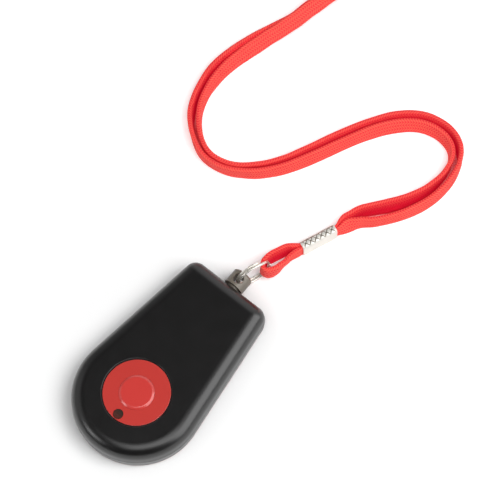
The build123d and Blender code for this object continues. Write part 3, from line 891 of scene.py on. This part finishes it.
@dataclass
class StrapRoute:
    """Where the strap lies: out along its outer strand, round the put-away turn and back.

    The places of both strands are in millimetres.
    """

    middle_height: float = 0.00325
    outer: Pairs = (
        (13.33, 82.83), (14.5, 85.81), (16.9, 90.7), (22, 95.3), (26.3, 102.1), (30.1, 110.1),
        (31, 117.8), (30.5, 123.9), (28.5, 129.3), (23.8, 133.2), (17.6, 134.2), (10.4, 132.7),
        (3.7, 127.7), (-1.8, 120.2), (-6.7, 110.9), (-11.4, 100.6), (-16.4, 90.9), (-22.4, 83.9),
        (-29.2, 79.3), (-36.5, 78.2), (-43.5, 81.8), (-48.9, 87.5), (-51.8, 95.7), (-52.2, 106.4),
        (-49.2, 117.9), (-45.1, 128.7), (-41.7, 139.3), (-38.3, 150.3), (-36.4, 160.5),
        (-36.4, 165),
    )
    inner: Pairs = (
        (11.75, 83.45), (12.92, 86.43), (13.7, 92.9), (18.2, 98.1), (23, 104.1), (26.7, 111.3),
        (27.8, 118.1), (27.6, 123.5), (26.1, 127.8), (22.8, 130.4), (17.8, 131.4), (11.6, 130.1),
        (6, 125.9), (0.5, 118.8), (-4.2, 109.6), (-8.9, 99.3), (-14.1, 89.4), (-20.5, 81.8),
        (-28, 76.7), (-37.2, 75.5), (-45.1, 79.5), (-51.4, 85.8), (-54.7, 95.2), (-55.1, 106.8),
        (-52, 118.9), (-47.7, 129.6), (-44.6, 140.2), (-41.1, 150.8), (-39.2, 160.5), (-39.2, 165),
    )
    coil_centre: tuple[float, float] = (-0.0714, 0.1710)
    coil_radius: float = 0.035
    spacing: float = 0.0028
    bight_radius: float = 0.008
    return_radius: float = 0.010
    inner_end_angle: float = 20.0
    steps_per_turn: int = 30
    samples_per_span: int = 24

    def _arc(self, centre: Vector, radius: float, start: float, sweep: float) -> Iterator[Vector]:
        """Points of an arc, without its last one.

        Args:
            centre: the middle of the arc.
            radius: its radius.
            start: where it starts, in degrees.
            sweep: how far it turns, in degrees.

        Returns:
            The points, one after the other.
        """
        steps = max(2, round(abs(sweep) / 360 * self.steps_per_turn))
        for step in range(steps):
            yield centre + level(start + sweep * step / steps, radius)

    def coil(self) -> list[Vector]:
        """Points of the put-away turn: three half turns in, an open bight, and three out again.

        Returns:
            The points, at the strap's middle height.
        """
        first = Vector((*self.coil_centre, self.middle_height))
        second = first - Vector((self.spacing, 0.0, 0.0))
        outside = [self.coil_radius - self.spacing * turn for turn in range(3)]
        inside = [radius - self.spacing for radius in outside]
        bight_reach = outside[2] - self.bight_radius
        return_reach = inside[2] - self.return_radius
        span = self.bight_radius + self.return_radius
        opening = math.degrees(math.acos((bight_reach ** 2 + return_reach ** 2 - span ** 2)
                                         / (2 * bight_reach * return_reach)))
        outer_end = self.inner_end_angle + opening
        bight = first + level(outer_end, bight_reach)
        turn_back = first + level(self.inner_end_angle, return_reach)
        between = math.degrees(math.atan2(turn_back.y - bight.y, turn_back.x - bight.x))
        arcs = (
            (first, outside[0], 0.0, 180.0), (second, outside[1], 180.0, 180.0),
            (first, outside[2], 0.0, outer_end),
            (bight, self.bight_radius, outer_end, (between - outer_end) % 360),
            (turn_back, self.return_radius, between + 180,
             -((between + 180 - self.inner_end_angle) % 360)),
            (first, inside[2], self.inner_end_angle, -self.inner_end_angle),
            (second, inside[1], 0.0, -180.0), (first, inside[0], 180.0, -180.0),
        )
        points = [point for arc in arcs for point in self._arc(*arc)]
        return [*points, first + level(0.0, inside[0])]

    def line(self) -> "Centreline":
        """The strap's smooth line, read from a spline through the whole route.

        Returns:
            The line, from the crimp out and back to it.
        """
        out, back = ([Vector((x * MM, y * MM, self.middle_height)) for x, y in places]
                     for places in (self.outer, reversed(self.inner)))
        return Centreline.along(out + self.coil() + back, self.samples_per_span)


class Centreline:
    """A smooth line that can be read at any distance along it."""

    def __init__(self, points: Sequence[Vector]) -> None:
        """Measures the line.

        Args:
            points: close points along it.
        """
        self.points = list(points)
        self.reach = [0.0]
        for before, after in zip(self.points, self.points[1:]):
            self.reach.append(self.reach[-1] + (after - before).length)

    @classmethod
    def along(cls, route: Sequence[Vector], samples: int) -> "Centreline":
        """Reads a NURBS spline that has the route as its control points.

        Args:
            route: the control points.
            samples: points read in each span.

        Returns:
            The line.
        """
        data = bpy.data.curves.new("route", "CURVE")
        data.dimensions = "3D"
        data.resolution_u = samples
        spline = data.splines.new("NURBS")
        spline.points.add(len(route) - 1)
        for point, place in zip(spline.points, route):
            point.co = (*place, 1.0)
        spline.order_u = 3
        spline.use_endpoint_u = True
        holder = bpy.data.objects.new("route", data)
        mesh = bpy.data.meshes.new_from_object(holder)
        line = cls([vertex.co.copy() for vertex in mesh.vertices])
        bpy.data.objects.remove(holder)
        bpy.data.meshes.remove(mesh)
        bpy.data.curves.remove(data)
        return line

    @property
    def length(self) -> float:
        """The whole length."""
        return self.reach[-1]

    def at(self, distance: float) -> Vector:
        """Reads the line.

        Args:
            distance: how far along it, which is held to the line's own length.

        Returns:
            The point there.
        """
        distance = min(max(distance, 0.0), self.length)
        place = max(bisect_left(self.reach, distance), 1)
        start, end = self.reach[place - 1], self.reach[place]
        share = (distance - start) / max(end - start, 1e-12)
        return self.points[place - 1].lerp(self.points[place], share)

    def direction(self, distance: float, window: float) -> Vector:
        """Unit direction at a distance, read over a window each side."""
        return (self.at(distance + window) - self.at(distance - window)).normalized()


# Sub-assemblies


@dataclass
class Crimp:
    """The folded metal sleeve that clamps the two strands."""

    start: Vector = field(default_factory=lambda: Vector((0.00805, 0.07174, 0.00325)))
    heading_degrees: float = 21.5
    length: float = 0.0122
    width: float = 0.0025
    height: float = 0.0065
    corner: float = 0.0008
    wall: float = 0.0003
    seam_sideways: float = -0.0009
    seam_width: float = 0.00035
    mark_count: int = 6
    mark_pitch: float = 0.00191
    mark_half: float = 0.00066
    mark_stroke: float = 0.00040
    mark_depth: float = 0.00022
    mark_sideways: float = 0.0001
    lip: float = 0.0003
    wave: float = 0.00004
    rows: int = 150
    columns: int = 120

    @property
    def line(self) -> Vector:
        """Heading of the sleeve, from the small loop to the strands."""
        return heading(self.heading_degrees)

    def _profile(self, share: float) -> tuple[float, ...]:
        """A point on the rounded oblong, from one edge of the seam round to the other.

        Args:
            share: how far round it is, from 0 to 1.

        Returns:
            The point's place across and up, and the outward direction there.
        """
        flat_x, flat_z = self.width / 2 - self.corner, self.height / 2 - self.corner
        whole = 4 * (flat_x + flat_z) + math.tau * self.corner
        start = self.seam_sideways + self.seam_width / 2 + flat_x
        return rounded(start + share * (whole - self.seam_width), flat_x, flat_z, self.corner)

    def _pressed(self, along: float, sideways: float) -> float:
        """Reads the row of pressed crosses.

        Args:
            along: the point's distance from the sleeve's start.
            sideways: its distance to the right of the middle.

        Returns:
            How deep the point lies in a cross, from 0 to 1.
        """
        off_middle = along - self.length / 2
        limit = (self.mark_count - 1) / 2
        nearest = min(max(round(off_middle / self.mark_pitch - 0.5) + 0.5, -limit), limit)
        x = off_middle - nearest * self.mark_pitch
        y = sideways - self.mark_sideways
        arm = min(abs(x - y), abs(x + y)) / self.mark_stroke
        end = (max(abs(x), abs(y)) - self.mark_half) / self.mark_stroke
        return max(0.0, 1.0 - max(arm, 0.0)) * min(max(1.0 - end, 0.0), 1.0)

    def _lipped(self, along: float) -> float:
        """Rolls the sleeve's lips in and gives its sheet slight waves.

        Args:
            along: the point's distance from the sleeve's start.

        Returns:
            How far the point stands out.
        """
        end = min(along, self.length - along)
        return (self.wave * math.sin(along / self.length * math.tau * 1.5)
                - 0.5 * self.lip * max(0.0, 1.0 - end / self.lip) ** 2)

    def build(self, finish: Plating) -> bpy.types.Object:
        """Folds the sleeve and presses its marks.

        Args:
            finish: its plating.

        Returns:
            The piece.
        """
        mesh = bmesh.new()
        bmesh.ops.create_grid(mesh, x_segments=self.rows, y_segments=self.columns, size=1.0)
        pressed = mesh.verts.layers.float.new(PRESSED)
        side = right_of(self.line)
        for vert in mesh.verts:
            along = (vert.co.x + 1) / 2 * self.length
            x, z, out_x, out_z = self._profile((vert.co.y + 1) / 2)
            vert[pressed] = self._pressed(along, x) if out_z > 0.5 else 0.0
            proud = self._lipped(along) - vert[pressed] * self.mark_depth
            vert.co = (self.start + self.line * along + side * (x + out_x * proud)
                       + UP * (z + out_z * proud))
        for face in mesh.faces:
            face.smooth = True
        bmesh.ops.recalc_face_normals(mesh, faces=mesh.faces[:])
        bmesh.ops.solidify(mesh, geom=mesh.faces[:], thickness=self.wall)
        made = piece("crimp_sleeve", mesh, finish.material(), Body.LANYARD, Slot.CRIMP)
        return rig.replaces(made, "ferrule")


@dataclass
class NeckStrap:
    """The doubled flat braid, its crimp, its small loop and the band round the put-away turn.

    Its tables are in millimetres and degrees. Each row of lean, draw and lift gives a distance
    from the crimp, then what the outer strand has there, then the inner one.
    """

    route: StrapRoute = field(default_factory=StrapRoute)
    crimp: Crimp = field(default_factory=Crimp)
    width: float = 0.0058
    thickness: float = 0.0016
    stitch: float = 0.0009
    length: float = 0.996
    floor_gap: float = 0.00003
    clamped_share: float = 0.56
    clamped_shift: float = 0.00039
    mouth_reach: float = 0.003
    swell_reach: float = 0.006
    settle_reach: float = 0.008
    waist: float = 0.00006
    section_points: int = 26
    window: float = 0.0008
    loop_window: float = 0.0005
    edge_rib: float = 0.00002
    face_rib: float = 0.00001
    lean: Rows = (
        (0, 3, 0), (5, 26, 22), (8, 12, 15), (12, 6, 17), (16, 5, 22), (21, 7, 28), (28, 11, 21),
        (35, 9, 10), (42, 7, 0), (49, 0, -9), (56, -13, -17), (64, -21, -21), (72, -25, -25),
        (80, -23, -23), (88, -17, -17), (96, -18, -18), (104, -18, -18), (112, -13, -13),
        (120, -5, -8), (128, 2, -3), (136, 9, 1), (144, 6, 0), (152, 4, 5), (160, 4, 10),
        (168, 8, 10), (176, 19, 20), (184, 27, 28), (192, 39, 39), (200, 37, 37), (208, 43, 43),
        (216, 41, 41), (224, 41, 41), (236, 0, 0),
    )
    draw: Rows = (
        (0, 0, 0), (5, 0.6, -0.3), (8, 0.25, 0), (12, -0.2, 0), (16, -0.1, 0), (24, -0.3, 0),
        (32, -0.15, 0), (40, -0.2, 0.2), (48, -0.1, 0), (56, 0, 0), (112, 0, 0), (120, 0, 0.15),
        (128, 0, 0.5), (136, 0, 0.5), (144, 0, 0.4), (160, -0.2, 0.4), (176, 0, 0),
        (184, 0.1, 0.35), (192, 0.4, 0.55), (200, 0.6, 0.7), (208, 0.9, 1.1), (216, 1.7, 0.3),
        (224, 2.3, -0.3), (236, 0, 0),
    )
    lift: Rows = (
        (184, 0, 0), (192, 0.2, 0), (200, 1.1, 0), (208, 1.8, 0), (224, 1.8, 0), (236, 0, 0),
    )
    loop_route: Rows = (
        (8.84, 72.5, 3.25), (8.24, 70.81, 3.3), (7.09, 67.71, 3.7), (6.92, 65.11, 4.1),
        (6.77, 62.35, 4.6), (6.53, 59.98, 5), (5.3, 57.82, 5.4), (3.38, 57.36, 5.8),
        (2.44, 58.9, 5.9), (2.29, 60.93, 5.7), (2.63, 62.79, 5.3), (3.56, 65.37, 4.6),
        (4.4, 68, 3.9), (5.75, 69.85, 3.5), (7.27, 71.19, 3.3), (7.99, 72.84, 3.25),
    )
    loop_lean: Pairs = (
        (0, 0), (3, 0), (7, 6), (10, 9), (13, 0), (16, -8), (19, -5), (22, 8), (26, 16), (31, 16),
        (35, 8), (38, 0),
    )
    band_angle: float = 10.0
    band_width: float = 0.004
    band_wall: float = 0.0003
    band_corner: float = 0.0008
    band_floor_gap: float = 0.00016
    band_lap: float = 0.00005
    band_window: float = 0.0003
    band_steps: int = 120
    hidden_points: int = 20

    @property
    def section(self) -> OvalSection:
        """Section of the braid."""
        return OvalSection(self.width, self.thickness, self.section_points, self.waist)

    def _relief(self, station: Station, around: float) -> float:
        """Cross ribs of the stitches, strongest on the round edges.

        Args:
            station: the place along the strap.
            around: the point's distance round the section.

        Returns:
            How far the point stands proud.
        """
        quarter = math.pi * self.thickness / 4
        half = self.section.perimeter / 2
        from_edge = min(around % half, half - around % half)
        depth = self.edge_rib if from_edge < quarter * 1.3 else self.face_rib
        return station.rib * depth * math.cos(station.along / self.stitch * math.tau)

    def _leaned(self, centre: Vector, line: Vector, degrees: float, along: float,
                thickness: float, rib: float = 1.0, inward: Side = Side.LEFT) -> Station:
        """Stands the strap on its edge at a place, and leans it.

        Args:
            centre: the middle of the strap.
            line: its travel.
            degrees: how far its top leans to the left of its travel.
            along: distance from its start.
            thickness: its thickness there, as a share of the whole.
            rib: how much its stitches show.
            inward: the side that its first face looks to.

        Returns:
            The station.
        """
        lean = math.radians(degrees)
        left = -right_of(line)
        slope = line.cross(left).normalized()
        tall = slope * math.cos(lean) + left * math.sin(lean)
        across = left * math.cos(lean) - slope * math.sin(lean)
        return Station(centre, across * -inward.value, tall, along, thickness, rib)

    def _resting(self, degrees: float) -> float:
        """Height of the strap's middle when it leans and its lower edge is on the floor."""
        return ((self.width - self.thickness) / 2 * math.cos(math.radians(degrees))
                + self.thickness / 2 + self.floor_gap)

    def _swelling(self, from_crimp: float, reach: float) -> float:
        """The strap's thickness near the crimp, as a share of the whole."""
        return eased(((0.0, self.clamped_share), (reach, 1.0)), from_crimp)

    def strand_stations(self) -> list[Station]:
        """Places along the whole strap: close where its stitches show, wider in the put-away turn.

        Returns:
            The stations, from the crimp out along the outer strand and back along the inner one.
        """
        line = self.route.line()
        tables = {side: [[(row[0], row[column]) for row in rows]
                         for rows in (self.lean, self.draw, self.lift)]
                  for side, column in ((Side.RIGHT, 1), (Side.LEFT, 2))}
        shown = self.lean[-1][0] * MM
        stations = []
        distance = 0.0
        while len(stations) < 2 or stations[-1].along < line.length:
            from_crimp = min(distance, line.length - distance)
            side = Side.RIGHT if distance < line.length / 2 else Side.LEFT
            lean, drawn, lifted = (eased(rows, from_crimp / MM) for rows in tables[side])
            lean *= side.value
            travel = line.direction(distance, self.window)
            squeeze = eased(((0.0, 1.0), (self.mouth_reach, 0.0)), from_crimp)
            centre = line.at(distance)
            centre -= right_of(travel) * (self.clamped_shift * squeeze + drawn * MM)
            centre.z = eased(((0.0, self.route.middle_height),
                              (self.settle_reach, self._resting(lean))), from_crimp)
            centre.z += lifted * MM
            stations.append(self._leaned(centre, travel, lean, distance,
                                         self._swelling(from_crimp, self.swell_reach),
                                         1.0 if from_crimp < shown else 0.0))
            hidden = shown < distance < line.length - shown
            distance = min(distance + self.stitch / (1 if hidden else 4), line.length)
        return stations

    def loop_stations(self) -> list[Station]:
        """Places along the small loop, which climbs from the crimp to the split ring.

        Returns:
            The stations, from the crimp out through the ring and back.
        """
        route = [Vector([value * MM for value in place]) for place in self.loop_route]
        line = Centreline.along(route, self.route.samples_per_span)
        count = round(line.length / self.stitch * 4)
        stations = []
        for step in range(count + 1):
            distance = line.length * step / count
            place = distance / line.length * self.loop_lean[-1][0]
            thickness = self._swelling(min(distance, line.length - distance), self.mouth_reach)
            travel = line.direction(distance, self.loop_window)
            stations.append(self._leaned(line.at(distance), travel, eased(self.loop_lean, place),
                                         distance, thickness, inward=Side.RIGHT))
        return stations

    def clamped_layers(self) -> bmesh.types.BMesh:
        """The two pressed layers inside the crimp.

        Returns:
            Both layers, in one mesh.
        """
        mesh = bmesh.new()
        section = OvalSection(self.width, self.thickness * self.clamped_share, self.hidden_points)
        line, side = self.crimp.line, right_of(self.crimp.line)
        for hand in Side:
            start = self.crimp.start + side * hand.value * section.thickness / 2
            stations = [Station(start + line * reach, -side, UP, reach)
                        for reach in (self.crimp.length * step / 16 for step in range(17))]
            half = settled("layer", swept(stations, section))
            mesh.from_mesh(half)
            bpy.data.meshes.remove(half)
        return mesh

    def coil_band(self) -> bmesh.types.BMesh:
        """The thin band round the put-away turn, with its overlapped end.

        Returns:
            The band.
        """
        route, corner = self.route, self.band_corner
        slack = self.thickness / 2 + self.band_wall
        inside = route.coil_radius - 3 * route.spacing - slack
        outside = route.coil_radius + slack
        out = level(self.band_angle)
        middle = Vector((*route.coil_centre, route.middle_height)) + out * (inside + outside) / 2
        half_x, half_z = (outside - inside) / 2, route.middle_height - self.band_floor_gap
        places = []
        for turn, sign_x, sign_z in ((0, 1, -1), (90, 1, 1), (180, -1, 1), (270, -1, -1)):
            centre = middle + out * sign_x * (half_x - corner) + UP * sign_z * (half_z - corner)
            for step in range(7):
                bend = math.radians(turn - 90 + step * 15)
                places.append(centre + out * corner * math.cos(bend) + UP * corner * math.sin(bend))
        places.append(places[0] + UP * self.band_lap)
        line = Centreline(places)
        along = Vector((-out.y, out.x, 0.0))
        stations = []
        for step in range(self.band_steps + 1):
            distance = line.length * step / self.band_steps
            across = line.direction(distance, self.band_window).cross(along).normalized()
            stations.append(Station(line.at(distance), across, along, distance))
        return swept(stations, OvalSection(self.band_width, self.band_wall, self.hidden_points))

    def build(self, braid: BraidFinish, plating: Plating, band: Moulding) -> None:
        """Makes the strap's pieces and declares its cord.

        Args:
            braid: finish of the woven parts.
            plating: finish of the crimp.
            band: finish of the tie.
        """
        weave = braid.material()
        sleeve = self.crimp.build(plating)
        layers = piece("clamped_layers", self.clamped_layers(), weave, Body.LANYARD, Slot.BRAID)
        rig.replaces(layers, "clamped_strap")
        loop = piece("ring_loop_braid", swept(self.loop_stations(), self.section, self._relief),
                     weave, Body.LANYARD, Slot.BRAID)
        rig.replaces(loop, "ring_loop")
        tie = piece("coil_band", self.coil_band(), band.material(), Body.LANYARD, Slot.TIE)
        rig.replaces(tie, "coil_tie")
        stations = self.strand_stations()
        strap = piece("neck_strap", swept(stations, self.section, self._relief), weave,
                      Body.LANYARD, Slot.BRAID)
        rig.replaces(strap, "outer_strand", "inner_strand", "strap_coil")
        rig.cord(strap, exit=stations[0].centre, length=self.length, diameter=self.width,
                far_end="object", stiffness="limp", lay="loose",
                path=[station.centre for station in stations[::4]] + [stations[-1].centre],
                with_pieces=[sleeve, layers, loop, tie])


@dataclass
class SplitRing:
    """Two turns of sprung wire, which step over at the top front where the free ends lie."""

    hole: Vector = field(default_factory=lambda: Vector((0.0, 0.0496, 0.0063)))
    heading_degrees: float = 20.0
    offset: float = 0.0055
    mean_radius: float = 0.0058
    wire: float = 0.00084
    spacing: float = 0.00088
    step_over: float = 37.0
    half_step: float = 30.0
    steps: int = 240
    end_share: float = 0.8
    end_steps: int = 3
    wire_points: int = 16

    def stations(self) -> list[Station]:
        """Places along the wire.

        Returns:
            The stations, from the free end on the left turn to the one on the right turn.
        """
        forward = heading(self.heading_degrees)
        side = right_of(forward)
        centre = self.hole + forward * self.offset
        start = self.step_over + self.half_step
        sweep = 720.0 - 2 * self.half_step
        stations = []
        for step in range(self.steps + 1):
            travelled = sweep * step / self.steps
            angle = math.radians(start + travelled)
            crossing = ((start + travelled - self.step_over - 360.0 + self.half_step)
                        / (2 * self.half_step))
            lateral = eased(((0.0, -0.5), (1.0, 0.5)), crossing) * self.spacing
            out = forward * math.cos(angle) + UP * math.sin(angle)
            end = min(min(step, self.steps - step) / self.end_steps, 1.0)
            stations.append(Station(centre + out * self.mean_radius + side * lateral, side, out,
                                    math.radians(travelled) * self.mean_radius,
                                    self.end_share + (1.0 - self.end_share) * end))
        return stations

    def build(self, plating: Plating) -> None:
        """Winds the ring.

        Args:
            plating: its finish.
        """
        section = OvalSection(self.wire, self.wire - 1e-7, self.wire_points)
        made = piece("split_ring_wire", swept(self.stations(), section), plating.material(),
                     Body.RING, Slot.NICKEL)
        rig.replaces(made, "split_ring")


@dataclass
class Enclosure:
    """The case, its button and everything inside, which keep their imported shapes."""

    wardrobe: tuple[tuple[Finish, tuple[str, ...]], ...] = (
        (Moulding("case plastic", (0.0024, 0.0021, 0.0022), 0.29, 0.80),
         ("top_shell", "bottom_shell")),
        (Moulding("eye plastic", (0.160, 0.136, 0.108), 0.36, 0.6, grain_depth=0.000008),
         ("swivel_eye",)),
        (Moulding("natural acetal", (0.75, 0.75, 0.70), 0.35), ("button_plunger",)),
        (Moulding("black moulding", (0.02, 0.02, 0.021), 0.4),
         ("switch_body", "switch_stem", "controller_chip", "resistors", "cell_holder")),
        (Moulding("fired ceramic", (0.42, 0.30, 0.18), 0.5, 0.3), ("capacitors",)),
        (Moulding("lamp epoxy", (0.70, 0.10, 0.07), 0.2, 0.5), ("indicator_led",)),
        (Plating("zinc plate", (0.62, 0.62, 0.63), 0.28),
         ("board_screws", "switch_cover", "case_screws", "crystal_can")),
        (Plating("cell steel", (0.70, 0.70, 0.69), 0.26), ("coin_cell",)),
        (Plating("spring brass", (0.76, 0.62, 0.33), 0.24), ("cell_clip", "cell_pad")),
        (Plating("antenna copper", (0.80, 0.46, 0.27), 0.25), ("antenna_wire",)),
        (Overlay("red overlay", (0.575, 0.040, 0.031), (0.540, 0.036, 0.028)), ("button_label",)),
        # Painted light: the dome is the same film as the overlay, painted lighter as if lit on its raised face.
        (Overlay("red dome painted lit", (0.650, 0.043, 0.036), (0.610, 0.039, 0.032)), ("button_dome",)),
        (SmokedWindow(), ("light_pipe",)),
        (BoardFinish(), ("circuit_board", "radio_module")),
    )

    def dress(self) -> None:
        """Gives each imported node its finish."""
        for finish, nodes in self.wardrobe:
            material = finish.material()
            for node in nodes:
                data = frame["nodes"][node].data
                data.materials.clear()
                data.materials.append(material)
                log.info("%s: %s", node, material.name)


@dataclass
class Studio:
    """The white sweep, its soft lamps and the camera."""

    target: Triple = (-0.00556, 0.06179, 0.0)
    eye_point: Triple = (0.16404, -0.11271, 0.66361)
    roll: float = -0.09
    lens: float = 157.13
    sensor: float = 36.0
    floor_half: float = 1.6
    ambient: float = 0.34
    dark_room: float = 0.07
    walls: tuple[tuple[str, float, float, float], ...] = (
        ("X", -0.40, -0.85, 0.2), ("Y", 0.30, 0.75, 0.8),
    )
    lamps: tuple[tuple[str, Triple, float, float, Role], ...] = (
        ("key", (0.38, 0.15, 0.70), 0.42, 3.4, Role.LEVEL),
        ("side card", (0.60, 0.28, 0.47), 0.80, 5.2, Role.SHINE),
        ("front card", (-0.27, -0.60, 0.37), 0.26, 0.72, Role.SHINE),
        ("left card", (-0.60, -0.28, 0.40), 0.60, 0.38, Role.SHINE),
        ("front fill", (-0.145, -0.47, 0.58), 0.40, 0.6, Role.LEVEL),
        ("camera fill", (0.19, -0.14, 0.76), 0.50, 1.65, Role.BOTH),
    )

    def _aim(self, place: Triple) -> Quaternion:
        """The turn that makes a lamp or a camera at a place look at the target."""
        return (Vector(self.target) - Vector(place)).to_track_quat("-Z", "Y")

    def floor(self) -> None:
        """Lays the paper sweep."""
        mesh = bmesh.new()
        bmesh.ops.create_grid(mesh, x_segments=8, y_segments=8, size=self.floor_half)
        sweep = placed("paper_sweep", settled("paper_sweep", mesh))
        sweep.data.materials.append(Paper().material())
        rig.stage(sweep)

    def lights(self) -> None:
        """Hangs the soft lamps, each aimed at the pendant."""
        for name, place, side, power, role in self.lamps:
            data = bpy.data.lights.new(name, "AREA")
            data.shape = "SQUARE"
            data.size = side
            data.energy = power
            lamp = placed(name, data)
            lamp.location = place
            lamp.rotation_euler = self._aim(place).to_euler()
            lamp.visible_diffuse, lamp.visible_glossy = role.value

    def sky(self) -> None:
        """Surrounds the scene with white, but reflections show a dark room with pale far walls."""
        world = bpy.data.worlds.new("white room")
        world.use_nodes = True
        sheet = NodeSheet(world.node_tree)
        glossy = sheet.add("ShaderNodeLightPath", output="Is Glossy Ray")
        facing = sheet.add("ShaderNodeSeparateXYZ", inputs={
            0: sheet.add("ShaderNodeTexCoord", output="Generated")})
        room: Operand = self.dark_room
        for axis, start, end, strength in self.walls:
            room = sheet.add("ShaderNodeMapRange", {"interpolation_type": "SMOOTHSTEP"}, {
                "Value": facing.twin(axis), "From Min": start, "From Max": end,
                "To Max": strength}) + room
        inside = sheet.add("ShaderNodeMix", inputs={"Factor": glossy, "A": self.ambient, "B": room})
        shown = sheet.add("ShaderNodeMix", inputs={
            "Factor": glossy.twin("Is Camera Ray"), "A": inside, "B": 1.0})
        sheet.fill(sheet.tree.nodes["Background"], {"Color": WHITE, "Strength": shown})
        bpy.context.scene.world = world

    def camera(self) -> None:
        """Sets the camera at the photograph's viewpoint."""
        data = bpy.data.cameras.new("camera")
        data.lens = self.lens
        data.sensor_width = self.sensor
        camera = placed("camera", data)
        camera.location = self.eye_point
        turned = self._aim(self.eye_point) @ Quaternion((0.0, 0.0, 1.0), self.roll)
        camera.rotation_euler = turned.to_euler()
        bpy.context.scene.camera = camera

    def build(self) -> None:
        """Makes the whole studio."""
        bpy.context.scene.view_settings.view_transform = "Standard"
        self.floor()
        self.lights()
        self.sky()
        self.camera()


def main() -> None:
    """Builds the studio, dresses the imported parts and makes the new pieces."""
    logging.basicConfig(level=logging.INFO, format="%(name)s: %(message)s")
    Studio().build()
    Enclosure().dress()
    nickel = Plating("bright nickel", (0.90, 0.86, 0.79), 0.24, metallic=0.8)
    SplitRing().build(nickel)
    sleeve = Plating("crimp nickel", (0.92, 0.89, 0.83), 0.38, metallic=0.55)
    NeckStrap().build(BraidFinish(), sleeve, Moulding("tie band", (0.015, 0.015, 0.016), 0.5, 0.3))
    boxes = {"cad": [list(corner) for corner in cad_box],
             "visual": [list(corner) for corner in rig.bounds()]}
    with open(SIZE_FILE, "w") as report:
        json.dump(boxes, report)


if __name__ == "__main__":
    main()
